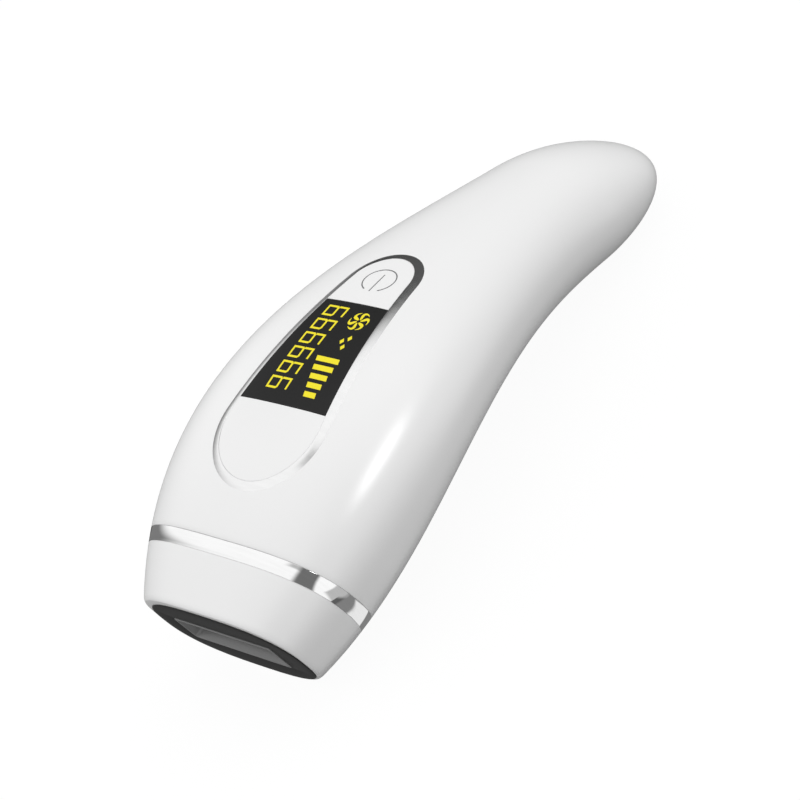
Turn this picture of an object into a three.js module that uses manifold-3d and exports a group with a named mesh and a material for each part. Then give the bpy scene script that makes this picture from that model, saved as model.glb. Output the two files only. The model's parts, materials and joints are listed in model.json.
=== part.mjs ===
// A hand-held IPL hair remover. A curved white handset carries a pull-off lamp cartridge behind a chrome
// ring, and a raised panel with a power key, a display and a flash key.
// Millimetres, +Z up, head towards -Y, tail towards +Y.

import * as THREE from 'three';
import { mergeVertices } from 'three/addons/utils/BufferGeometryUtils.js';
import Module from 'manifold-3d';

const wasm = await Module();
wasm.setup();

// ---- Driving dimensions of the casing ----

// Bezier control points [y, z] of the centre line, from the treatment face to the tip of the tail.
const CENTRE_LINE = [[-89.3, 15.2], [-56.9, 22.9], [-13.2, 58.8], [48.9, 13.3], [92.9, 8.7]];
// Half-width and half-height of the casing along the centre line, as Bernstein control values.
const HALF_WIDTH = [26.5, 45.6, 46.8, 24, 17, 28];
const HALF_HEIGHT = [15.6, 22.9, 18.1, 13.2, 19.8, 12.1];
// Powers of the superelliptic cross-section, at the head and at the tail.
const TOP_POWER = [3, 1.95];
const BOTTOM_POWER = [2.35, 1.95];
// Station along the centre line, from 0 to 1, where the tail starts to round off.
const TAIL_ROUNDING = 0.81;
const WALL = 2.2;
const GAP = 0.3;
// Points round a cross-section, outside and inside the wall.
const AROUND = 32;
const AROUND_INSIDE = 20;
// Reach of a cutting tool that goes clear of the casing.
const BEYOND = 30;

// ---- Head ----

// Stations of the chrome ring's edges, and the slopes of the treatment face and of the ring against the
// cross-section, as tangents.
const RING_FRONT = 0.075;
const RING_REAR = 0.096;
const FACE_TILT = 0.03;
const RING_TILT = 0.143;
const RING_DEPTH = 2.6;
const FRAME = { halfWidth: 25.2, halfHeight: 13.4, power: 2.7, thickness: 2.6, proud: 0.3 };
const LIP = { halfWidth: 17.2, halfHeight: 5.1, corner: 0.8, proud: 0.5, depth: 3, wall: 0.7 };
const LIP_REAR = { halfWidth: 15.4, halfHeight: 4.1 };
// Opening in the head cover behind the contact frame.
const MOUTH = { halfWidth: 22.4, halfHeight: 10.6 };
const GLASS = { halfWidth: 16, halfHeight: 4.8, thickness: 1.4, front: 3.4 };
const FILTER = { thickness: 1, front: 5.2 };
const SENSOR_BOARD = { halfWidth: 20.9, halfHeight: 9.9, thickness: 1, front: 3.2 };
const REFLECTOR = { mouth: 8.6, vertex: 20.8, halfHeight: 7, halfWidth: 13.8, sheet: 0.7 };
const LAMP = { radius: 3.2, neck: 1.8, shoulder: 2, halfLength: 14.5, depth: 15 };
const LAMP_CAP = { radius: 2.4, length: 3 };
const LEAD = { radius: 0.7, x: 1.8, straight: 2, bendX: 12, bendY: 22.2, endY: 22.4 };
const BASE = { halfWidth: 20.4, halfHeight: 9.6, front: 7.2, rear: 28, wall: 1.4, rearWall: 3 };
const EAR = { x: 24, end: 2, halfHeight: 3, front: 9.4, rear: 11.2, screwTip: 5 };
// Posts inside the head cover that the ears of the base are screwed to.
const EAR_POST = { radius: 2.6, front: 3.4, boreFront: 4.6, webEnd: 32, webHalf: 1 };
const PIN = { radius: 1.2, spacing: 8, front: 23.4, rear: 35 };
const SOCKET = { halfWidth: 12.5, halfHeight: 4.5, front: 29.4, rear: 39 };

// ---- Control panel, in its own plane: x across, y along the handset ----

const PANEL_STATION = 0.34;
const PANEL = { headRadius: 15.4, headY: -17.4, tailRadius: 9.4, tailY: 30.5 };
const RECESS_FLOOR = 4;
const DISPLAY = { headY: -11.9, tailY: 21.9 };
const BEZEL = { proud: 0.6, rim: 0.6, foot: 2, footLift: 0.1, depth: 2.6 };
const KEY = { proud: 0.5, depth: 2 };
const WINDOW = { proud: 0.5, depth: 1.4 };
const MODULE = { halfWidth: 9, headY: -9, tailY: 19, top: 13.6 };
const DISPLAY_BOARD = { halfWidth: 9, headY: -26, tailY: 35, top: 7.2, thickness: 1.2 };
const TACT_SWITCH = { halfSize: 3.1, height: 3.2, flashY: -21, powerY: 30 };
const PLUNGER = { radius: 1.6, lift: 1 };
// Extent of the slab that the keys and the display are shaped from.
const SLAB = { halfWidth: 19, headY: -36, tailY: 43 };

// ---- Inside the handset ----

// Underside cover, a tapered outline in plan, and the cooling slots through it.
const BELLY = { headRadius: 25, headY: -46, tailRadius: 10, tailY: 50, bottom: -5, top: 24 };
const VENT = { count: 6, pitch: 4.4, width: 1.8, halfLength: 9, top: -10 };
// Screw posts and their pads. seat and well are heights over the casing's underside.
const BOSS = { radius: 2.9, pad: 3.4, bore: 1.5, depth: 10, seat: 4.2, well: 1.9 };
const BOSS_PLACES = [[-20.5, -51], [20.5, -51], [-9, 22.5], [9, 22.5]];
const SCREW = { radius: 1.2, headRadius: 2.3, headHeight: 1.4 };
const FAN = { station: 0.305, half: 15, corner: 1.5, height: 7, bore: 13.4, floor: -13.6, hole: 12.4 };
const FAN_MOUNT = { radius: 5, armHalfWidth: 0.8, thickness: 1, standoff: 2.4, holeDepth: 2.6 };
const FAN_SCREW_REACH = 2;
const IMPELLER = { hub: 5.6, wall: 1, roof: 0.6, height: 5.2 };
const BLADES = { count: 7, thickness: 0.8, height: 5.4, pitch: 0.75 };
const MOTOR = { radius: 3.9, height: 3.6 };
const CAPACITOR = { station: 0.49, radius: 8.4, halfLength: 16.5, z: -4.8, groove: 0.6 };
const BOARD = { station: 0.775, halfWidth: 11, halfLength: 22, top: -5.8, thickness: 1.6 };
const BOARD_POST = { radius: 2.2, bore: 1.3, screwLength: 7 };
const BOARD_POSTS = [[8.2, -19.4], [-8.2, 19.4]];
const TRANSFORMER = { x: -1.8, y: -10, halfWidth: 8, halfLength: 7, height: 13 };
const CORE_SLOT = { x: 4.3, halfWidth: 1.5, sheet: 2.9 };
const WINDING = { halfWidth: 5.5, halfLength: 9.5, bottom: 3.2, top: 9.8 };
const WINDING_HOLE = { halfWidth: 3.1, halfLength: 7.3 };
const COIL = { x: 6.2, y: 5.4, radius: 3.6, bore: 1, height: 8 };
const TRANSISTOR = { x: -9, y: 3.4, width: 10, depth: 4, bottom: 3, top: 13, legPitch: 2.5, legHalf: 0.4 };
const HEAT_SINK = { x: -9, y: 7.8, width: 10, base: 1.8, depth: 5, height: 12 };
const FINS = { count: 5, pitch: 2.3, thickness: 0.8 };
const CHIP = { x: 6, y: 14, halfSize: 3.5, height: 1.2 };
const INLET = { radius: 3.9, bore: 2.8, front: -15, rear: -5.4, floor: 2, pinRadius: 1, plugRadius: 3.1 };

// ---- Materials ----

function material(color, roughness, metalness = 0) {
  return new THREE.MeshStandardMaterial({ color, roughness, metalness });
}
const whitePlastic = material('#ececec', 0.35);
const darkPlastic = material('#303030', 0.5);
const greyPlastic = material('#9a9a9a', 0.5);
const chrome = material('#d8d8d8', 0.08, 1);
const silver = material('#b9b9bb', 0.2, 1);
const steel = material('#8f9296', 0.3, 1);
const aluminium = material('#c2c5c8', 0.35, 1);
const brass = material('#c9a456', 0.3, 1);
const copper = material('#b3683b', 0.4, 1);
const glass = material('#8d9094', 0.1);
const displayGlass = material('#242424', 0.15);
const circuitBoard = material('#1f6b3a', 0.6);
const ferrite = material('#3a3a3c', 0.7);
const sleeve = material('#23262b', 0.4);
const redWire = material('#b02a24', 0.5);
const blackWire = material('#1c1c1c', 0.5);

// ---- Solids ----

function solid(geometry) {
  const plain = new THREE.BufferGeometry();
  const source = geometry.index ? geometry.toNonIndexed() : geometry;
  plain.setAttribute('position', source.getAttribute('position'));
  const merged = mergeVertices(plain, 1e-4);
  const vertProperties = merged.getAttribute('position').array;
  const triVerts = new Uint32Array(merged.index.array);
  return new wasm.Manifold(new wasm.Mesh({ numProp: 3, vertProperties, triVerts }));
}

function geometryOf(manifold) {
  const mesh = manifold.getMesh();
  const geometry = new THREE.BufferGeometry();
  geometry.setAttribute('position', new THREE.BufferAttribute(mesh.vertProperties, 3));
  geometry.setIndex(new THREE.BufferAttribute(mesh.triVerts, 1));
  geometry.computeVertexNormals();
  return geometry;
}

function cut(body, ...tools) {
  return geometryOf(tools.reduce((left, tool) => left.subtract(solid(tool)), solid(body)));
}

function join(...geometries) {
  const [first, ...rest] = geometries.map(solid);
  return geometryOf(rest.reduce((sum, piece) => sum.add(piece), first));
}

function common(first, second) {
  return geometryOf(solid(first).intersect(solid(second)));
}

// Flat end of a loft. The ring is seen from -Y, and facing is 1 for an end that faces -Y.
function endFaces(ring, start, facing) {
  const outline = ring.map((point) => new THREE.Vector2(point.x, point.z));
  const faces = [];
  for (const [a, b, c] of THREE.ShapeUtils.triangulateShape(outline, [])) {
    const area = THREE.ShapeUtils.area([outline[a], outline[b], outline[c]]);
    faces.push(...(area * facing > 0 ? [a, b, c] : [a, c, b]).map((corner) => corner + start));
  }
  return faces;
}

// Closed skin over a row of rings that run anticlockwise as seen from -Y and follow each other towards +Y.
// An apex closes the far end in a point, and a looped row returns to its first ring.
function loft(rings, { apex = null, looped = false } = {}) {
  const count = rings[0].length;
  const points = rings.flat();
  const faces = [];
  const spans = looped ? rings.length : rings.length - 1;
  for (let span = 0; span < spans; span += 1) {
    const near = span * count;
    const far = ((span + 1) % rings.length) * count;
    for (let i = 0; i < count; i += 1) {
      const j = (i + 1) % count;
      faces.push(near + i, far + i, near + j);
      faces.push(near + j, far + i, far + j);
    }
  }
  const last = (rings.length - 1) * count;
  if (!looped) faces.push(...endFaces(rings[0], 0, 1));
  if (!looped && !apex) faces.push(...endFaces(rings.at(-1), last, -1));
  if (apex) {
    points.push(apex);
    for (let i = 0; i < count; i += 1) faces.push(last + i, points.length - 1, last + ((i + 1) % count));
  }
  return new THREE.BufferGeometry().setFromPoints(points).setIndex(faces);
}

// ---- Outlines and extrusions ----

function rounded(halfWidth, halfHeight, radius, corner = 3) {
  const points = [];
  for (const [sideX, sideY, turn] of [[1, 1, 0], [-1, 1, 1], [-1, -1, 2], [1, -1, 3]]) {
    for (let i = 0; i <= corner; i += 1) {
      const angle = ((turn + i / corner) * Math.PI) / 2;
      const x = sideX * (halfWidth - radius) + radius * Math.cos(angle);
      const y = sideY * (halfHeight - radius) + radius * Math.sin(angle);
      points.push(new THREE.Vector2(x, y));
    }
  }
  return points;
}

function signedPower(value, power) {
  return Math.sign(value) * Math.abs(value) ** power;
}

function superellipse(halfWidth, halfHeight, power, segments = 48) {
  const points = [];
  for (let i = 0; i < segments; i += 1) {
    const angle = (i / segments) * 2 * Math.PI;
    const x = halfWidth * signedPower(Math.cos(angle), 2 / power);
    const y = halfHeight * signedPower(Math.sin(angle), 2 / power);
    points.push(new THREE.Vector2(x, y));
  }
  return points;
}

function circle(radius, segments = 20) {
  return superellipse(radius, radius, 2, segments);
}

function shapeOf(points, ...holes) {
  const shape = new THREE.Shape(points);
  shape.holes = holes.map((hole) => new THREE.Path(hole));
  return shape;
}

function alongZ(shape, from, to, curveSegments = 12) {
  const options = { depth: to - from, bevelEnabled: false, curveSegments };
  return new THREE.ExtrudeGeometry(shape, options).translate(0, 0, from);
}

// The shape's x and y become x and z.
function alongY(shape, from, to) {
  return alongZ(shape, -to, -from).rotateX(Math.PI / 2);
}

// The shape's x and y become y and z.
function alongX(shape, from, to) {
  const turn = new THREE.Matrix4().set(0, 0, 1, 0, 1, 0, 0, 0, 0, 1, 0, 0, 0, 0, 0, 1);
  return alongZ(shape, from, to).applyMatrix4(turn);
}

function box(from, to) {
  const [x, y, z] = to.map((value, axis) => value - from[axis]);
  const centre = to.map((value, axis) => (value + from[axis]) / 2);
  return new THREE.BoxGeometry(x, y, z).translate(...centre);
}

// A turned piece along Y, from profile points [radius, y] given from the lower end to the upper end.
function turned(profile, segments = 20) {
  const points = profile.map(([radius, height]) => new THREE.Vector2(radius, height));
  return new THREE.LatheGeometry(points, segments);
}

// A wire or lead of round section through hand-placed points.
function wire(points, radius, steps = 10) {
  const path = new THREE.CatmullRomCurve3(points.map((point) => new THREE.Vector3(...point)));
  return new THREE.ExtrudeGeometry(shapeOf(circle(radius, 7)), { steps, extrudePath: path });
}

// ---- The casing's surface ----

function bernstein(values, t) {
  const degree = values.length - 1;
  let sum = 0;
  let choose = 1;
  for (let i = 0; i <= degree; i += 1) {
    sum += choose * values[i] * t ** i * (1 - t) ** (degree - i);
    choose = (choose * (degree - i)) / (i + 1);
  }
  return sum;
}

class CentreLine extends THREE.Curve {
  getPoint(t, target = new THREE.Vector3()) {
    const y = bernstein(CENTRE_LINE.map((point) => point[0]), t);
    const z = bernstein(CENTRE_LINE.map((point) => point[1]), t);
    return target.set(0, y, z);
  }
}
const centreLine = new CentreLine();
centreLine.arcLengthDivisions = 600;
const LENGTH = centreLine.getLength();

function closing(station, inset) {
  const end = 1 - inset / LENGTH;
  const q = THREE.MathUtils.clamp((station - TAIL_ROUNDING) / (end - TAIL_ROUNDING), 0, 1);
  return Math.sqrt(1 - q * q);
}

// Half-width and half-height of the cross-section, drawn in by an inset, and its two powers.
function section(station, inset) {
  const factor = closing(station, inset);
  return {
    width: (bernstein(HALF_WIDTH, station) - inset) * factor,
    height: (bernstein(HALF_HEIGHT, station) - inset) * factor,
    top: THREE.MathUtils.lerp(...TOP_POWER, station),
    bottom: THREE.MathUtils.lerp(...BOTTOM_POWER, station),
  };
}

// The point at an offset across and up from the centre line, in the cross-section at a station.
function offCentre(station, across, up) {
  const centre = centreLine.getPointAt(station);
  const tangent = centreLine.getTangentAt(station);
  return new THREE.Vector3(across, centre.y - tangent.z * up, centre.z + tangent.y * up);
}

function bodyRing(station, inset = 0, tilt = 0, around = inset > 0.9 ? AROUND_INSIDE : AROUND) {
  const ring = [];
  for (let i = 0; i < around; i += 1) {
    const angle = (i / around) * 2 * Math.PI;
    const sine = Math.sin(angle);
    const lift = bernstein(HALF_HEIGHT, station) * signedPower(sine, 0.75);
    const here = THREE.MathUtils.clamp(station + (tilt * lift) / LENGTH, 0, 1);
    const { width, height, top, bottom } = section(here, inset);
    const power = 2 / (sine >= 0 ? top : bottom);
    const across = width * signedPower(Math.cos(angle), power);
    ring.push(offCentre(here, across, height * signedPower(sine, power)));
  }
  return ring;
}

// The casing's solid form from a station to the tip of the tail, drawn in by an inset.
function bodyToTail(from, inset, tilt, along) {
  const end = 1 - inset / LENGTH;
  const rings = [];
  for (let i = 0; i < along; i += 1) {
    const station = THREE.MathUtils.lerp(from, TAIL_ROUNDING, i / along);
    rings.push(bodyRing(station, inset, i === 0 ? tilt : tilt * (1 - i / along)));
  }
  const rounding = 9;
  for (let i = 0; i < rounding; i += 1) {
    const q = Math.sin(((i / rounding) * Math.PI) / 2);
    rings.push(bodyRing(THREE.MathUtils.lerp(TAIL_ROUNDING, end, q), inset));
  }
  return loft(rings, { apex: centreLine.getPointAt(end) });
}

// The head's form between two stations. rings gives [fraction of the way, inset] for each ring.
function bodyBetween(from, to, rings) {
  return loft(rings.map(([fraction, inset]) => {
    const station = THREE.MathUtils.lerp(from, to, fraction);
    const tilt = THREE.MathUtils.mapLinear(station, 0, RING_FRONT, FACE_TILT, RING_TILT);
    return bodyRing(station, inset, Math.min(tilt, RING_TILT));
  }));
}

// ---- Frames on the centre line ----

// A group whose y axis runs along the centre line and whose z axis points up out of the handset.
function groupAt(station, parent) {
  const group = new THREE.Group();
  const tangent = centreLine.getTangentAt(station);
  group.position.copy(centreLine.getPointAt(station));
  group.rotation.x = Math.atan2(tangent.z, tangent.y);
  parent.add(group);
  group.updateMatrixWorld(true);
  return group;
}

// Height of the casing's surface over the point (x, y) of a group's own plane. side is 1 for the upper
// surface and -1 for the underside.
function surfaceHeight(group, x, y, side = 1) {
  let near = 0;
  let far = 1;
  let point = new THREE.Vector3();
  for (let i = 0; i < 30; i += 1) {
    const station = (near + far) / 2;
    const { width, height, top, bottom } = section(station, 0);
    const power = side > 0 ? top : bottom;
    const part = Math.min(Math.abs(x) / Math.max(width, 0.001), 1);
    const up = side * height * (1 - part ** power) ** (1 / power);
    point = group.worldToLocal(offCentre(station, x, up));
    if (point.y < y) near = station;
    else far = station;
  }
  return point.z;
}

function part(name, geometry, look, parent, position = [0, 0, 0]) {
  const mesh = new THREE.Mesh(geometry, look);
  mesh.name = name;
  mesh.position.set(...position);
  parent.add(mesh);
  return mesh;
}

// Geometry given in a group's frame, carried into the handset's frame.
function placed(group, geometry) {
  return geometry.applyMatrix4(group.matrixWorld);
}

// ---- Assembly ----

const handset = new THREE.Group();
const head = groupAt(0, handset);
head.rotation.x -= Math.atan(FACE_TILT);
head.updateMatrixWorld(true);
const panel = groupAt(PANEL_STATION, handset);
const fan = groupAt(FAN.station, handset);
const store = groupAt(CAPACITOR.station, handset);
const grip = groupAt(BOARD.station, handset);
const tail = groupAt(1, handset);

// -- Lamp cartridge, in the head's frame: y runs in from the treatment face --

function frameOutline(grow) {
  return superellipse(FRAME.halfWidth + grow, FRAME.halfHeight + grow, FRAME.power);
}

// A bored post on one side of the head, joined to the cover's wall by a web.
function earPost(side, inside) {
  const { radius, front, boreFront, webEnd, webHalf } = EAR_POST;
  const rear = EAR.front - GAP;
  const tube = alongY(shapeOf(circle(radius, 14)), front, rear).translate(side * EAR.x, 0, 0);
  const [from, to] = side > 0 ? [EAR.x, webEnd] : [-webEnd, -EAR.x];
  const web = box([from, front, -webHalf], [to, rear, webHalf]);
  const bore = alongY(shapeOf(circle(BOSS.bore, 12)), boreFront, EAR.rear).translate(side * EAR.x, 0, 0);
  return common(placed(head, cut(join(tube, web), bore)), inside);
}

function headCover() {
  // Fractions of the way from the face to the ring, and how far the rounded front edge is drawn in there.
  const edge = [[0, 0.5], [0.03, 0.2], [0.09, 0.03], [0.2, 0], [0.45, 0], [0.72, 0], [1, 0]];
  const outer = bodyBetween(0, RING_FRONT, edge);
  const lining = bodyBetween(0.02, RING_FRONT + 0.02, [[0, WALL], [0.4, WALL], [1, WALL]]);
  const inside = bodyBetween(0, RING_FRONT, [[0, WALL / 2], [0.5, WALL / 2], [1, WALL / 2]]);
  const opening = superellipse(MOUTH.halfWidth, MOUTH.halfHeight, FRAME.power);
  const mouth = placed(head, alongY(shapeOf(opening), -2, FRAME.thickness + WALL));
  const seat = placed(head, alongY(shapeOf(frameOutline(GAP)), -2, FRAME.thickness + GAP));
  return join(cut(outer, lining, mouth, seat), earPost(-1, inside), earPost(1, inside));
}

function contactFrame() {
  const hole = rounded(LIP.halfWidth + GAP, LIP.halfHeight + GAP, 1.1);
  return alongY(shapeOf(frameOutline(0), hole), -FRAME.proud, FRAME.thickness);
}

function windowLip() {
  const { corner, proud, depth, wall } = LIP;
  const ring = (y, { halfWidth, halfHeight }, grow) => {
    const outline = rounded(halfWidth + grow, halfHeight + grow, corner);
    return outline.map((point) => new THREE.Vector3(point.x, y, point.y));
  };
  const outside = [ring(-proud, LIP, 0), ring(depth, LIP_REAR, wall)];
  const inside = [ring(depth, LIP_REAR, 0), ring(-proud, LIP, -wall)];
  return loft([...outside, ...inside], { looped: true });
}

function plate(halfWidth, halfHeight, from, thickness, hole = null) {
  const outline = rounded(halfWidth, halfHeight, 0.8, 2);
  return alongY(hole ? shapeOf(outline, hole) : shapeOf(outline), from, from + thickness);
}

function reflector() {
  const { mouth, vertex, halfHeight, halfWidth, sheet } = REFLECTOR;
  const outer = [];
  const inner = [];
  const steps = 10;
  for (let i = 0; i <= steps; i += 1) {
    const z = halfHeight * ((2 * i) / steps - 1);
    const depth = vertex - (vertex - mouth) * (z / halfHeight) ** 2;
    const atMouth = i === 0 || i === steps;
    outer.push(new THREE.Vector2(depth, z * (1 + sheet / halfHeight)));
    inner.unshift(new THREE.Vector2(atMouth ? depth : depth - sheet, z));
  }
  return alongX(shapeOf([...outer, ...inner]), -halfWidth, halfWidth);
}

function flashLamp() {
  const { radius, neck, shoulder, halfLength } = LAMP;
  const half = [[neck, halfLength], [radius, halfLength - shoulder]];
  const lower = half.map(([r, z]) => [r, -z]);
  return turned([[0, -halfLength], ...lower, ...half.reverse(), [0, halfLength]], 16).rotateZ(Math.PI / 2);
}

function cartridgeBase() {
  const { halfWidth, halfHeight, front, rear, wall, rearWall } = BASE;
  const shell = plate(halfWidth, halfHeight, front, rear - front);
  const pocket = plate(halfWidth - wall, halfHeight - wall, front - 1, rear - rearWall - front + 1);
  const reach = EAR.x + EAR.end;
  const ears = box([-reach, EAR.front, -EAR.halfHeight], [reach, EAR.rear, EAR.halfHeight]);
  const earHoles = [-EAR.x, EAR.x].map((x) =>
    alongY(shapeOf(circle(BOSS.bore, 12)), EAR.front - 1, EAR.rear + 1).translate(x, 0, 0));
  const pinHoles = [-PIN.spacing, 0, PIN.spacing].map((x) =>
    alongY(shapeOf(circle(PIN.radius + GAP, 12)), rear - rearWall - 1, rear + 1).translate(x, 0, 0));
  return cut(join(shell, ears), pocket, ...earHoles, ...pinHoles);
}

function contactPin() {
  const { radius, front, rear } = PIN;
  return turned([[0, front], [radius, front], [radius, rear - 1], [radius / 2, rear], [0, rear]], 12);
}

// A pan-head screw along its own y axis from its tip at zero, with its head above the given reach.
function screw(reach) {
  const { radius, headRadius, headHeight } = SCREW;
  const top = reach + headHeight;
  const shaft = [[0, 0], [radius * 0.6, 0], [radius, 0.8], [radius, reach]];
  const cap = [[headRadius, reach], [headRadius, top - 0.5], [headRadius * 0.7, top], [0, top]];
  return turned([...shaft, ...cap], 9);
}

// A lamp lead from the end cap on one side to the contact pin on the same side.
function lampLead(side) {
  const x = side * (LAMP.halfLength + LEAD.x);
  const start = LAMP.depth + LAMP_CAP.radius + GAP;
  const bend = [side * LEAD.bendX, LEAD.bendY, 0];
  const end = [side * PIN.spacing, LEAD.endY, 0];
  return wire([[x, start, 0], [x, start + LEAD.straight, 0], bend, end], LEAD.radius);
}

function buildCartridge() {
  part('head_cover', headCover(), whitePlastic, handset);
  part('contact_frame', contactFrame(), darkPlastic, head);
  part('window_lip', windowLip(), greyPlastic, head);
  const pane = ({ front, thickness }) => plate(GLASS.halfWidth, GLASS.halfHeight, front, thickness);
  part('light_window', pane(GLASS), glass, head);
  part('optical_filter', pane(FILTER), glass, head);
  const sensorHole = rounded(GLASS.halfWidth + 2 * GAP, GLASS.halfHeight + 2 * GAP, 1);
  const { halfWidth, halfHeight, front, thickness } = SENSOR_BOARD;
  const sensorOutline = superellipse(halfWidth, halfHeight, FRAME.power, 32);
  const sensor = alongY(shapeOf(sensorOutline, sensorHole), front, front + thickness);
  part('skin_sensor_board', sensor, circuitBoard, head);
  part('reflector', reflector(), aluminium, head);
  part('flash_lamp', flashLamp(), glass, head, [0, LAMP.depth, 0]);
  part('cartridge_base', cartridgeBase(), darkPlastic, head);
  for (const [side, name] of [[-1, 'left'], [1, 'right']]) {
    const { radius, length } = LAMP_CAP;
    const cap = turned([[0, 0], [radius, 0], [radius, length], [0, length]], 14);
    const capX = side * (LAMP.halfLength + GAP);
    part('lamp_cap_' + name, cap.rotateZ((-side * Math.PI) / 2), steel, head, [capX, LAMP.depth, 0]);
    part('lamp_lead_' + name, lampLead(side), side > 0 ? redWire : blackWire, head);
    const fastener = screw(EAR.rear + GAP - EAR.screwTip);
    part('cartridge_screw_' + name, fastener, steel, head, [side * EAR.x, EAR.screwTip, 0]);
  }
  for (const [place, name] of [[-1, 'left'], [0, 'middle'], [1, 'right']]) {
    part('contact_pin_' + name, contactPin(), brass, head, [place * PIN.spacing, 0, 0]);
  }
}

// -- Head ring and socket --

function headRing() {
  const slack = GAP / LENGTH;
  const front = RING_FRONT + slack;
  const rear = RING_REAR - slack;
  const corners = [[front, 0], [rear, 0], [rear, RING_DEPTH], [front, RING_DEPTH]];
  const rings = corners.map(([station, inset]) => bodyRing(station, inset, RING_TILT, AROUND));
  return loft(rings, { looped: true });
}

function cartridgeSocket() {
  const { halfWidth, halfHeight, front, rear } = SOCKET;
  const holes = [-PIN.spacing, 0, PIN.spacing].map((x) =>
    alongY(shapeOf(circle(PIN.radius + GAP, 12)), front - 1, PIN.rear + 2 * GAP).translate(x, 0, 0));
  return cut(plate(halfWidth, halfHeight, front, rear - front), ...holes);
}

// -- Casing --

// Outline made of a circle at the head end, a circle at the tail end and their common tangents.
function taper({ headRadius, headY, tailRadius, tailY }, grow = 0) {
  const lean = Math.asin((headRadius - tailRadius) / (tailY - headY));
  const shape = new THREE.Shape();
  shape.absarc(0, headY, headRadius + grow, Math.PI - lean, 2 * Math.PI + lean, false);
  shape.absarc(0, tailY, tailRadius + grow, lean, Math.PI - lean, false);
  return shape;
}

function bellyPrism(grow) {
  return alongZ(taper(BELLY, grow), BELLY.bottom, BELLY.top);
}

// A hollow post that hangs from the upper wall down to a height in a group's frame.
function post(group, [x, y], bottom, { radius, bore }) {
  const tube = cut(
    alongZ(shapeOf(circle(radius, 10)), bottom, bottom + 2 * BEYOND),
    alongZ(shapeOf(circle(bore, 8)), bottom - 1, bottom + BOSS.depth),
  );
  const within = bodyToTail(RING_REAR, WALL / 2, RING_TILT, 8);
  return common(placed(group, tube.translate(x, y, 0)), within);
}

function undersideAt(x, y) {
  return surfaceHeight(handset, x, y, -1);
}

function casingShell() {
  const slack = GAP / LENGTH;
  const outer = bodyToTail(RING_REAR + slack, 0, RING_TILT, 19);
  const inner = bodyToTail(RING_REAR - 0.02, WALL, RING_TILT, 9);
  return cut(outer, inner);
}

function mainCasing(shell) {
  const recess = placed(panel, alongZ(taper(PANEL, BEZEL.foot + GAP), RECESS_FLOOR, BEYOND));
  const plugHole = placed(tail, alongY(shapeOf(circle(INLET.plugRadius, 20)), INLET.rear - 1, 3));
  const bosses = BOSS_PLACES.map((place) => post(handset, place, undersideAt(...place) + BOSS.seat, BOSS));
  const boardPosts = BOARD_POSTS.map((place) => post(grip, place, BOARD.top + GAP, BOARD_POST));
  return join(cut(shell, bellyPrism(GAP), recess, plugHole), ...bosses, ...boardPosts);
}

// A rod along a group's z axis, between two heights over the point (x, y).
function rodAt([x, y], radius, segments, from, to) {
  return alongZ(shapeOf(circle(radius, segments)), from, to).translate(x, y, 0);
}

function vents() {
  const slots = [];
  const half = VENT.width / 2;
  for (let i = 0; i < VENT.count; i += 1) {
    const y = (i - (VENT.count - 1) / 2) * VENT.pitch;
    const slot = box([-VENT.halfLength, y - half, -BEYOND], [VENT.halfLength, y + half, VENT.top]);
    slots.push(placed(fan, slot));
  }
  return slots;
}

function bellyCover(shell) {
  const inside = bodyToTail(RING_REAR, 1, RING_TILT, 6);
  const pads = BOSS_PLACES.map((place) => {
    const outside = undersideAt(...place);
    return common(rodAt(place, BOSS.pad, 10, outside - 2, outside + BOSS.seat - GAP), inside);
  });
  const standoffs = fanCorners().map((place) =>
    common(placed(fan, rodAt(place, FAN_MOUNT.standoff, 8, -BEYOND, FAN.floor - GAP)), inside));
  const screwHoles = BOSS_PLACES.flatMap((place) => {
    const outside = undersideAt(...place);
    return [
      rodAt(place, SCREW.headRadius + GAP, 10, outside - 6, outside + BOSS.well),
      rodAt(place, BOSS.bore, 8, outside - 6, outside + 6),
    ];
  });
  const fanHoles = fanCorners().map((place) =>
    placed(fan, rodAt(place, BOSS.bore, 8, FAN.floor - FAN_MOUNT.holeDepth, 0)));
  const panelOfShell = common(shell, bellyPrism(0));
  return cut(join(panelOfShell, ...pads, ...standoffs), ...screwHoles, ...fanHoles, ...vents());
}

function buildCasing() {
  const shell = casingShell();
  part('head_ring', headRing(), chrome, handset);
  part('main_casing', mainCasing(shell), whitePlastic, handset);
  part('belly_cover', bellyCover(shell), whitePlastic, handset);
  part('cartridge_socket', cartridgeSocket(), darkPlastic, head);
  BOSS_PLACES.forEach(([x, y], i) => {
    const turnedOver = screw(BOSS.depth - 1).rotateX(-Math.PI / 2);
    const height = undersideAt(x, y) + GAP + SCREW.headHeight + BOSS.depth - 1;
    part('casing_screw_' + (i + 1), turnedOver, steel, handset, [x, y, height]);
  });
}

// -- Control panel --

const LEAN = Math.asin((PANEL.headRadius - PANEL.tailRadius) / (PANEL.tailY - PANEL.headY));

// Half-width of the panel at y, between its two end circles.
function panelHalfWidth(y, grow) {
  return (PANEL.headRadius + grow) / Math.cos(LEAN) - (y - PANEL.headY) * Math.tan(LEAN);
}

// A slab that follows the casing's surface, between two heights measured from it.
function slab(low, high) {
  const across = 6;
  const along = 15;
  const rings = [];
  for (let i = 0; i <= along; i += 1) {
    const y = THREE.MathUtils.lerp(SLAB.headY, SLAB.tailY, i / along);
    const row = [];
    for (let j = 0; j <= across; j += 1) {
      const x = THREE.MathUtils.lerp(-SLAB.halfWidth, SLAB.halfWidth, j / across);
      row.push(new THREE.Vector3(x, y, surfaceHeight(panel, x, y)));
    }
    const upper = row.map((point) => point.clone().setZ(point.z + high)).reverse();
    const lower = row.map((point) => point.clone().setZ(point.z + low));
    rings.push([...lower, ...upper]);
  }
  return loft(rings);
}

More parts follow.
